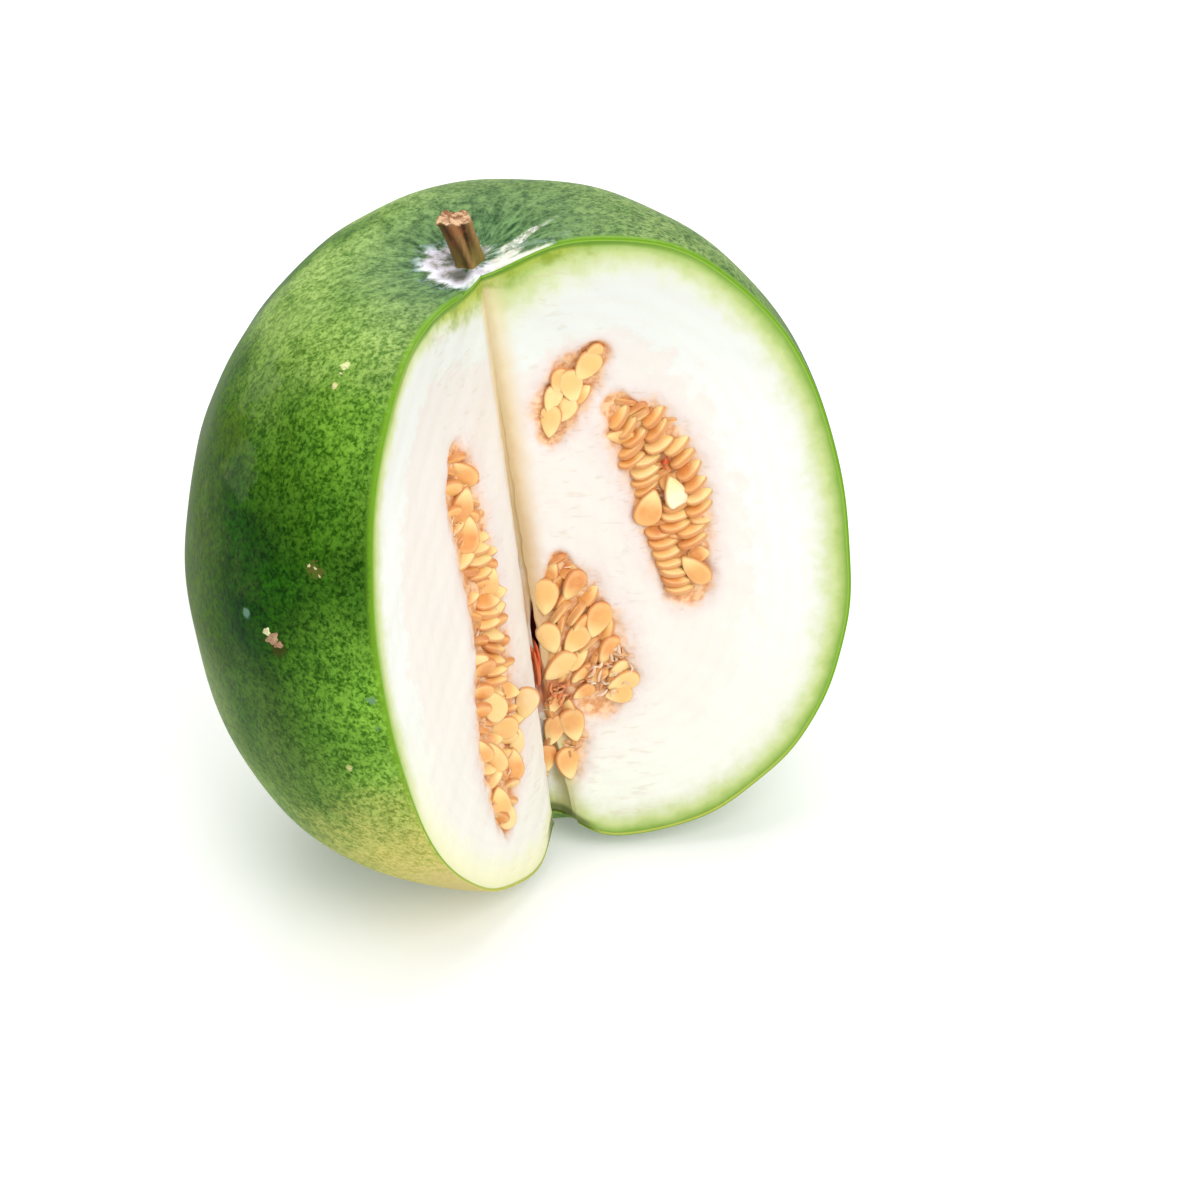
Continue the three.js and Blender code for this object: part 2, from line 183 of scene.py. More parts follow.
class Surface:
    """Patches of points that share edges, gathered into one closed mesh."""

    def __init__(self) -> None:
        """Starts with no patch."""
        self.points: list[Array] = []
        self.faces: list[Array] = []
        self.values: dict[str, list[Array]] = {}
        self.count = 0

    def add(self, points: Array, flip: bool = False, ring: bool = False, **values: Array) -> None:
        """Adds a grid of points.

        Args:
            points: Grid of rows × columns × 3.
            flip: Whether its faces turn over.
            ring: Whether its last column joins its first.
            values: Numbers for each point, by the name of their attribute.
        """
        rows, columns = points.shape[:2]
        quads = grid_faces(rows, columns, self.count, ring)
        self.faces.append(quads[:, ::-1] if flip else quads)
        self.points.append(points.reshape(-1, 3))
        for name, numbers in values.items():
            self.values.setdefault(name, []).append(np.broadcast_to(numbers, (rows, columns)).reshape(-1))
        self.count += rows * columns

    def build(self, name: str, sharp_degrees: float | None = None) -> Piece:
        """Welds equal points, drops faces that collapse and makes the object.

        Args:
            name: Name of the piece.
            sharp_degrees: Edges that bend more than this stay crisp.

        Returns:
            The piece, at the origin, with its place in its mesh in metres.
        """
        points = np.concatenate(self.points)
        quads = np.concatenate(self.faces)
        keys = np.round(points * 1e7).astype(np.int64)
        _, first, number = np.unique(keys, axis=0, return_index=True, return_inverse=True)
        quads = number.reshape(-1)[quads]
        nexts = np.roll(quads, -1, axis=1)
        same = quads == nexts
        whole = quads[~same.any(axis=1)]
        once = quads[same.sum(axis=1) == 1]
        drop = (once == np.roll(once, -1, axis=1)).argmax(axis=1)
        keep = (drop[:, None] + np.arange(1, 4)) % 4
        corners = np.take_along_axis(once, keep, axis=1)
        mesh = bpy.data.meshes.new(name)
        mesh.from_pydata(points[first].tolist(), [], whole.tolist() + corners.tolist())
        for label, parts in self.values.items():
            layer = mesh.attributes.new(label, "FLOAT", "POINT")
            layer.data.foreach_set("value", np.concatenate(parts)[first].astype(np.float32))
        mesh.validate()
        mesh.polygons.foreach_set("use_smooth", np.ones(len(mesh.polygons), dtype=bool))
        if sharp_degrees is not None:
            mesh.set_sharp_from_angle(angle=math.radians(sharp_degrees))
        mesh.update()
        piece = bpy.data.objects.new(name, mesh)
        bpy.context.scene.collection.objects.link(piece)
        return piece


def finish_piece(piece: Piece, slot: str, node: str, material: bpy.types.Material) -> None:
    """Dresses a piece, lets it ride on the body and says what it stands for.

    Args:
        piece: The new piece.
        slot: The record's material slot.
        node: The CAD node that it replaces.
        material: Its material.
    """
    piece.data.materials.append(material)
    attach(piece, "root")
    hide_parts(node)
    LOG.info("%s: %d faces, slot %s", piece.name, len(piece.data.polygons), slot)


# The melon's form, its notch and the way that it stands


@dataclass(frozen=True)
class Hollow:
    """A bell-shaped hollow round a point of the level plane."""

    x: float
    y: float
    depth: float
    width: float

    def at(self, x: Array, y: Array) -> Array:
        """Depth depth · exp(-(distance / width)²) at points of the level plane."""
        return self.depth * bell(np.hypot(x - self.x, y - self.y), self.width)


@dataclass(frozen=True)
class MelonForm:
    """A squarish ball, drawn in at both ends, in the melon's own upright frame in millimetres."""

    girth_radius: float = 110.0
    top_rise: float = 122.7
    top_fullness: float = 0.888
    base_rise: float = 113.2
    base_fullness: float = 0.834
    lobes: tuple = ((2, -0.001, -0.010), (3, -0.023, -0.028))
    bow_x: float = -4.2
    bow_y: float = -1.4
    bow_reach: float = 115.0
    stem_dimple: Hollow = Hollow(-5.1, -3.8, 16.1, 38.4)
    shoulder: Hollow = Hollow(20.0, -6.0, -2.6, 17.0)
    blossom_dimple: Hollow = Hollow(-0.7, -28.6, 6.0, 34.0)
    blossom_pit: Hollow = Hollow(-0.7, -28.6, 13.0, 11.5)
    unevenness: float = 0.42
    waves: tuple = (24.0, 75.0, 9, 11)
    far: float = 190.0
    halvings: int = 34

    def beyond(self, points: Array) -> Array:
        """How far points lie outside: (r / girth)^(2/e) + (h / rise)^(2/e) - 1, with bow and dimples undone.

        Args:
            points: Points as rows of three.

        Returns:
            Numbers below zero inside the melon and above zero outside.
        """
        z = points[..., 2]
        bow = 1.0 - (z / self.bow_reach) ** 2
        x, y = points[..., 0] - self.bow_x * bow, points[..., 1] - self.bow_y * bow
        upper = z > 0.0
        low = self.blossom_dimple.at(x, y) + self.blossom_pit.at(x, y)
        dip = self.stem_dimple.at(x, y) + self.shoulder.at(x, y)
        height = np.where(upper, z + dip, low - z)
        azimuth = np.arctan2(x, -y)
        swell = np.ones_like(azimuth)
        for count, cosine, sine in self.lobes:
            swell += cosine * np.cos(count * azimuth) + sine * np.sin(count * azimuth)
        power = 2.0 / np.where(upper, self.top_fullness, self.base_fullness)
        rise = np.where(upper, self.top_rise, self.base_rise)
        across = np.hypot(x, y) / swell / self.girth_radius
        return across**power + (np.maximum(height, 0.0) / rise) ** power - 1.0

    def reach(self, heart: Array, directions: Array) -> Array:
        """Distance from the heart to the skin along each direction, found by halving, plus its unevenness.

        Args:
            heart: Point inside the melon.
            directions: Unit directions, any shape ending in three.

        Returns:
            One distance a direction.
        """
        low = np.zeros(directions.shape[:-1])
        high = np.full(directions.shape[:-1], self.far)
        for _ in range(self.halvings):
            middle = 0.5 * (low + high)
            within = self.beyond(heart + middle[..., None] * directions) < 0.0
            low, high = np.where(within, middle, low), np.where(within, high, middle)
        return low + self.unevenness * ripples(heart + low[..., None] * directions, *self.waves)


class Side(Enum):
    """The two cut faces: azimuth from -Y towards +X in degrees, and the sign of the normal."""

    LEFT = (-25.0, -1.0)
    RIGHT = (97.3, 1.0)


LEFT, RIGHT = Side.LEFT, Side.RIGHT
MIDDLE = math.radians((LEFT.value[0] + RIGHT.value[0]) / 2.0)


def round_the_back(count: int) -> Array:
    """Azimuths in radians, from the right cut round the back to the left cut."""
    return np.radians(np.linspace(RIGHT.value[0], 360.0 + LEFT.value[0], count))


@dataclass(frozen=True)
class Bed:
    """A seed bed: a line on a cut face, as rows of (s, z, half width), and how the loose seeds lie in it.

    S is the distance from the root and z the height. Spin is the heading of a loose seed's tip in degrees,
    from away from the root towards up. Room is its least distance from the other seeds, in millimetres.
    """

    side: Side
    line: tuple
    spin: float
    room: float


@dataclass(frozen=True)
class Notch:
    """The wedge that was cut out: its root line, two cut faces, the gutter between them and the seed beds."""

    x: float = 0.2
    y: float = -19.4
    slope_x: float = -0.014
    slope_y: float = 0.102
    heart_height: float = 5.0
    gutter_top: float = 0.25
    gutter_bottom: float = 5.0
    gutter_bow: float = 0.42
    half_height: float = 112.0
    slot_top: float = -10.0
    slot_bottom: float = -48.0
    slot_depth: float = 7.0
    slot_width: float = 0.30
    slot_aside: float = 0.35
    slot_swing: float = 0.55
    slot_wander: float = 0.08
    slot_wander_turns: float = 0.35
    bed_depth: float = 2.3
    beds: tuple = (
        Bed(RIGHT, ((34, 74, 5), (26, 67, 9), (18, 56, 9), (15, 48, 5)), 236.0, 4.2),
        Bed(
            RIGHT,
            ((38, 54, 6), (44, 45, 12), (50, 32, 13), (52, 14, 13), (53, -3, 11), (54, -14, 9), (55, -18, 5)),
            8.0,
            3.0,
        ),
        Bed(RIGHT, ((12, 2, 4), (12, -12, 12), (15, -28, 16), (18, -42, 15), (18, -50, 10)), 228.0, 3.8),
        Bed(RIGHT, ((5, -50, 6), (4, -62, 10), (2, -74, 9), (1, -79, 5)), 262.0, 4.0),
        Bed(
            LEFT,
            (
                (32, 60, 6), (31, 50, 11), (30, 36, 11), (28, 14, 11), (27, -8, 11),
                (30, -26, 14), (31, -42, 16), (32, -56, 13), (34, -68, 8), (35, -75, 4),
            ),
            200.0,
            4.4,
        ),
    )

    @property
    def up(self) -> Array:
        """Unit direction of the root line."""
        return unit(np.array([self.slope_x, self.slope_y, 1.0]))

    @property
    def heart(self) -> Array:
        """Point of the root line that rays to the skin start from."""
        return self.root(np.array(self.heart_height))

    def root(self, z: Array) -> Array:
        """Points of the root line at heights z: (x + slope_x z, y + slope_y z, z)."""
        return np.stack([self.x + self.slope_x * z, self.y + self.slope_y * z, z], axis=-1)

    @staticmethod
    def heading(azimuth: Array) -> Array:
        """Level unit directions (sin a, -cos a, 0) at azimuths in radians."""
        return np.stack([np.sin(azimuth), -np.cos(azimuth), np.zeros_like(azimuth)], axis=-1)

    def along(self, side: Side) -> Array:
        """Level direction of a cut face, away from the root."""
        return self.heading(np.array(math.radians(side.value[0])))

    def out(self, side: Side) -> Array:
        """Normal of a cut face, into the notch."""
        return unit(np.cross(self.along(side), self.up)) * side.value[1]

    def on_face(self, side: Side, s: Array, z: Array, lift: Array) -> Array:
        """Points s away from the root at height z, raised by lift off the cut face."""
        return self.root(z) + s[..., None] * self.along(side) + lift[..., None] * self.out(side)

    def gutter_reach(self, azimuth: Array, height: Array) -> Array:
        """Distance from the root line to the gutter, a circle of radius g whose centre is bowed aside by b.

        It is sqrt(g² - b² sin² d) - b cos d, with d the azimuth from the sideways direction. g grows with
        the square of the share t of the height below the top, and b is w g sin(pi t), with w the bow.

        Args:
            azimuth: Azimuths in radians.
            height: Heights in millimetres, of the same shape.

        Returns:
            The distances.
        """
        share = np.clip(0.5 - height / (2.0 * self.half_height), 0.0, 1.0)
        radius = self.gutter_top + (self.gutter_bottom - self.gutter_top) * share**2
        bow = self.gutter_bow * radius * np.sin(np.pi * share)
        turn = azimuth - MIDDLE - math.pi / 2.0
        return np.sqrt(radius**2 - (bow * np.sin(turn)) ** 2) - bow * np.cos(turn)

    def slot_reach(self, azimuth: Array, height: Array) -> Array:
        """Extra depth of the torn slot: an almond in height, narrow round the inward direction.

        Args:
            azimuth: Azimuths in radians.
            height: Heights in millimetres, of the same shape.

        Returns:
            The extra depths in millimetres.
        """
        share = np.clip((self.slot_top - height) / (self.slot_top - self.slot_bottom), 0.0, 1.0)
        swell = np.sin(np.pi * share) ** 0.8
        turn = azimuth - MIDDLE - math.pi + self.slot_aside + self.slot_swing * (1.0 - share)
        turn = turn + self.slot_wander * np.sin(height * self.slot_wander_turns)
        return self.slot_depth * swell * bell(turn, self.slot_width)

    def bed_share(self, side: Side, s: Array, z: Array) -> Array:
        """Distance to the nearest bed line, as a share of the bed's half width there.

        Args:
            side: The cut face.
            s: Distances from the root.
            z: Heights.

        Returns:
            0 on a bed's line, 1 at its edge and more beyond.
        """
        nearest = np.full(np.shape(s), FAR)
        for bed in self.beds:
            if bed.side is not side:
                continue
            line = np.array(bed.line, dtype=float)
            for here, there in zip(line[:-1], line[1:]):
                run = there[:2] - here[:2]
                share = np.clip(((s - here[0]) * run[0] + (z - here[1]) * run[1]) / (run @ run), 0.0, 1.0)
                width = here[2] + (there[2] - here[2]) * share
                gap = np.hypot(s - here[0] - run[0] * share, z - here[1] - run[1] * share)
                nearest = np.minimum(nearest, gap / width)
        return nearest


class Stance:
    """Sets points of the melon's own frame into the part's frame, where it leans and rests on its foot."""

    def __init__(self, form: MelonForm, notch: Notch, lean_degrees: float = 6.3) -> None:
        """Works out the shift that brings the leaning melon into the CAD node's box.

        Args:
            form: The melon's form.
            notch: Its notch.
            lean_degrees: How far it leans towards -X.
        """
        lean = math.radians(lean_degrees)
        self.turn = np.array(
            [[math.cos(lean), 0.0, math.sin(lean)], [0.0, 1.0, 0.0], [-math.sin(lean), 0.0, math.cos(lean)]]
        )
        polar, azimuth = np.meshgrid(np.linspace(0.03, 3.09, 400), round_the_back(400))
        directions = unit(
            np.sin(polar)[..., None] * notch.heading(azimuth) + np.cos(polar)[..., None] * notch.up
        )
        plain = replace(form, unevenness=0.0)
        skin = (notch.heart + plain.reach(notch.heart, directions)[..., None] * directions) @ self.turn
        low, high = (np.array(corner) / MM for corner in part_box("melon"))
        self.shift = np.array(
            [
                (low[0] + high[0] - skin[..., 0].min() - skin[..., 0].max()) / 2.0,
                high[1] - skin[..., 1].max(),
                high[2] - skin[..., 2].max(),
            ]
        )
        LOG.info("melon frame shift in mm: %s", np.round(self.shift, 3))

    def place(self, points: Array, floor: float | None = None) -> Array:
        """Points in the part's frame in metres.

        Args:
            points: Points in the melon's frame in millimetres.
            floor: Lowest height that they may have, in millimetres.

        Returns:
            The placed points.
        """
        placed = points @ self.turn + self.shift
        if floor is not None:
            placed[..., 2] = np.maximum(placed[..., 2], floor)
        return placed * MM


# Shader building


def srgb(red: float, green: float, blue: float) -> Colour:
    """Linear colour of a screen colour given from 0 to 255."""
    parts = (value / 255.0 for value in (red, green, blue))
    linear = [part / 12.92 if part <= 0.04045 else ((part + 0.055) / 1.055) ** 2.4 for part in parts]
    return (linear[0], linear[1], linear[2], 1.0)


class Sheet:
    """A node tree under construction, with one method for each kind of step that the finishes use."""

    def __init__(self, tree: bpy.types.NodeTree) -> None:
        """Takes the tree to build in."""
        self.tree = tree

    def put(self, kind: str, inputs: dict | None = None, **settings: object) -> bpy.types.Node:
        """Adds a node.

        Args:
            kind: Blender's name for the kind of node.
            inputs: Values or sockets for its inputs, by name or number.
            settings: Its own settings.

        Returns:
            The node.
        """
        node = self.tree.nodes.new(kind)
        for name, value in settings.items():
            setattr(node, name, value)
        for key, value in (inputs or {}).items():
            self.feed(node.inputs[key], value)
        return node

    def feed(self, socket: Socket, value: Value) -> None:
        """Links a socket or sets its value."""
        if isinstance(value, Socket):
            self.tree.links.new(value, socket)
        else:
            socket.default_value = value

    def math(self, step: str, first: Value, *others: Value) -> Socket:
        """One kind of arithmetic, applied along a row of numbers."""
        for other in others or (0.0,):
            first = self.put("ShaderNodeMath", {0: first, 1: other}, operation=step).outputs[0]
        return first

    def times(self, *factors: Value) -> Socket:
        """Product of numbers."""
        return self.math("MULTIPLY", *factors)

    def plus(self, *parts: Value) -> Socket:
        """Sum of numbers."""
        return self.math("ADD", *parts)

    def less(self, a: Value, b: Value) -> Socket:
        """The first number less the second."""
        return self.math("SUBTRACT", a, b)

    def vector(self, step: str, a: Value, b: Value = (0.0, 0.0, 0.0), result: str = "Vector") -> Socket:
        """One step of arithmetic on two vectors, whose result is a Vector or a Value."""
        return self.put("ShaderNodeVectorMath", {0: a, 1: b}, operation=step).outputs[result]

    def scaled(self, vector: Value, factor: Value) -> Socket:
        """A vector times a number."""
        inputs = {"Vector": vector, "Scale": factor}
        return self.put("ShaderNodeVectorMath", inputs, operation="SCALE").outputs[0]

    def distance(self, a: Value, b: Value) -> Socket:
        """Distance between two points."""
        return self.vector("DISTANCE", a, b, "Value")

    def axes(self, vector: Value) -> list[Socket]:
        """The three parts of a vector."""
        return list(self.put("ShaderNodeSeparateXYZ", {0: vector}).outputs)

    def joined(self, x: Value, y: Value, z: Value) -> Socket:
        """A vector of three parts."""
        return self.put("ShaderNodeCombineXYZ", {0: x, 1: y, 2: z}).outputs[0]

    def place(self) -> Socket:
        """Object coordinates in millimetres."""
        return self.scaled(self.put("ShaderNodeTexCoord").outputs["Object"], 1.0 / MM)

    def attribute(self, name: str) -> Socket:
        """A number that the mesh carries."""
        return self.put("ShaderNodeAttribute", attribute_name=name).outputs["Fac"]

    def noise(self, vector: Value, scale: Value, detail: float, rough: float, **more: Value) -> Socket:
        """Noise of about 0 to 1 whose cells are 1 / scale wide."""
        inputs = {"Vector": vector, "Scale": scale, "Detail": detail, "Roughness": rough, **more}
        kind = "4D" if "W" in more else "3D"
        return self.put("ShaderNodeTexNoise", inputs, noise_dimensions=kind).outputs[0]

    def sway(self, *inputs: Value, **more: Value) -> Socket:
        """Noise of about -0.5 to 0.5, with the inputs of noise."""
        return self.less(self.noise(*inputs, **more), 0.5)

    def ease(self, value: Value, low: Value, high: Value, to: tuple = (0.0, 1.0)) -> Socket:
        """Smooth step of a number between two bounds, from to[0] to to[1]."""
        inputs = {0: value, 1: low, 2: high, 3: to[0], 4: to[1]}
        return self.put("ShaderNodeMapRange", inputs, interpolation_type="SMOOTHSTEP").outputs[0]

    def fall(self, value: Value, low: Value, high: Value, start: float = 1.0) -> Socket:
        """Smooth step down from a start to 0."""
        return self.ease(value, low, high, (start, 0.0))

    def mix(self, share: Value, a: Value, b: Value) -> Socket:
        """Colour a with share of b laid over it."""
        return self.put("ShaderNodeMix", {0: share, 6: a, 7: b}, data_type="RGBA").outputs[2]

    def layers(self, colour: Value, *coats: tuple[Value, Value]) -> Socket:
        """Colour with coats laid over it in turn, each as (share, colour)."""
        for share, coat in coats:
            colour = self.mix(share, colour, coat)
        return colour

    def ramp(self, value: Value, *stops: tuple[float, float, float, float]) -> Socket:
        """Colour that passes through stops.

        Args:
            value: Number of 0 to 1.
            stops: Each as (place, red, green, blue).

        Returns:
            The colour.
        """
        node = self.put("ShaderNodeValToRGB", {0: value})
        band = node.color_ramp
        while len(band.elements) < len(stops):
            band.elements.new(0.5)
        for element, (place, *colour) in zip(band.elements, stops):
            element.position = place
            element.color = srgb(*colour)
        return node.outputs[0]

    def group(self, tree: bpy.types.NodeTree, **inputs: Value) -> Socket:
        """Places a shared effect and gives its first output. Underscores in names stand for spaces."""
        spaced = {key.replace("_", " "): value for key, value in inputs.items()}
        return self.put("ShaderNodeGroup", spaced, node_tree=tree).outputs[0]

    def bump(self, height: Value, strength: float, distance_mm: float) -> Socket:
        """Normal bent by a height of 0 to 1 that stands for distance_mm."""
        inputs = {"Height": height, "Strength": strength, "Distance": distance_mm * MM}
        return self.put("ShaderNodeBump", inputs).outputs[0]


class Effects:
    """Shader effects that more than one finish uses, each built once as a node group."""

    def __init__(self) -> None:
        """Builds every group."""
        self.cloud = self._cloud()
        self.spot = self._spot()
        self.grain = self._grain()

    @staticmethod
    def _shell(name: str, output: str, vectors: tuple, numbers: dict) -> tuple[Sheet, dict, Socket]:
        """Empty group with its sockets.

        Args:
            name: Name of the group.
            output: Name of its output, a number.
            vectors: Names of its vector inputs.
            numbers: Starting values of its number inputs, by name.

        Returns:
            The sheet, the input sockets by name and the output socket.
        """
        tree = bpy.data.node_groups.new(name, "ShaderNodeTree")
        for label in vectors:
            tree.interface.new_socket(label, in_out="INPUT", socket_type="NodeSocketVector")
        for label, value in numbers.items():
            socket = tree.interface.new_socket(label, in_out="INPUT", socket_type="NodeSocketFloat")
            socket.default_value = value
        tree.interface.new_socket(output, in_out="OUTPUT", socket_type="NodeSocketFloat")
        sheet = Sheet(tree)
        source = sheet.put("NodeGroupInput")
        sink = sheet.put("NodeGroupOutput")
        return sheet, {socket.name: socket for socket in source.outputs if socket.name}, sink.inputs[0]

    def _cloud(self) -> bpy.types.NodeTree:
        """Soft blotches of a given size in millimetres, as a mask."""
        numbers = {"Size": 20.0, "Low": 0.4, "High": 0.6}
        sheet, given, result = self._shell("soft blotches", "Mask", ("Place",), numbers)
        value = sheet.noise(given["Place"], sheet.math("DIVIDE", 1.0, given["Size"]), 3.0, 0.55)
        sheet.feed(result, sheet.ease(value, given["Low"], given["High"]))
        return sheet.tree

    def _spot(self) -> bpy.types.NodeTree:
        """Ragged round spot about a point, as a mask."""
        numbers = {"Radius": 3.0, "Ragged": 0.5, "Grain": 0.6}
        sheet, given, result = self._shell("ragged spot", "Mask", ("Place", "Centre"), numbers)
        gap = sheet.math("DIVIDE", sheet.distance(given["Place"], given["Centre"]), given["Radius"])
        wander = sheet.times(sheet.sway(given["Place"], given["Grain"], 3.0, 0.6), given["Ragged"])
        sheet.feed(result, sheet.fall(sheet.plus(gap, wander), 0.65, 1.1))
        return sheet.tree

    def _grain(self) -> bpy.types.NodeTree:
        """Two sizes of fine noise as a height."""
        numbers = {"Coarse": 0.4, "Fine": 2.0, "Fine share": 0.35}
        sheet, given, result = self._shell("fine grain", "Height", ("Place",), numbers)
        coarse = sheet.noise(given["Place"], given["Coarse"], 3.0, 0.5)
        fine = sheet.noise(given["Place"], given["Fine"], 3.0, 0.6)
        sheet.feed(result, sheet.plus(coarse, sheet.times(fine, given["Fine share"])))
        return sheet.tree


class Finish:
    """Base of the finishes: one Principled shader, to which each finish gives its own values and paint.

    Shine holds constants for the shader's own sockets, where underscores in names stand for spaces. Grain is
    the relief's (coarse, fine, share of the fine), and bump is its (strength, height in mm). Paint gives the
    colour, the roughness where it changes over the surface, and heights that are added to the grain.
    """

    name = "finish"
    shine: dict = {}
    grain: tuple = ()
    bump: tuple = ()

    def __init__(self, effects: Effects) -> None:
        """Starts the material, with a sheet for its nodes and the object coordinates in millimetres."""
        self.effects = effects
        self.material = bpy.data.materials.new(self.name)
        self.material.use_nodes = True
        self.material.node_tree.nodes.clear()
        self.sheet = Sheet(self.material.node_tree)
        self.place = self.sheet.place()

    def paint(self) -> Paint:
        """What the finish gives the shader: each kind has its own."""
        raise NotImplementedError

    def build(self) -> bpy.types.Material:
        """Sets the shader's constants, then its colour, roughness and relief.

        Returns:
            The material.
        """
        sheet, place = self.sheet, self.place
        shader = sheet.put("ShaderNodeBsdfPrincipled")
        sheet.put("ShaderNodeOutputMaterial", {0: shader.outputs[0]})
        for name, value in self.shine.items():
            shader.inputs[name.replace("_", " ")].default_value = value
        colour, rough, heights = self.paint()
        sheet.feed(shader.inputs["Base Color"], colour)
        if rough is not None:
            sheet.feed(shader.inputs["Roughness"], rough)
        if self.grain:
            coarse, fine, share = self.grain
            relief = sheet.group(self.effects.grain, Place=place, Coarse=coarse, Fine=fine, Fine_share=share)
            for height in heights:
                relief = sheet.plus(relief, height)
            sheet.feed(shader.inputs["Normal"], sheet.bump(relief, *self.bump))
        return self.material

    def blotches(self, place: Value, size: float, low: float, high: float) -> Socket:
        """Mask of soft blotches of a size in millimetres."""
        return self.sheet.group(self.effects.cloud, Place=place, Size=size, Low=low, High=high)


@dataclass(frozen=True)
class SkinMark:
    """A mark on the skin, in the part's frame in millimetres."""

    centre: tuple
    radius: float
    ragged: float
    colour: Colour


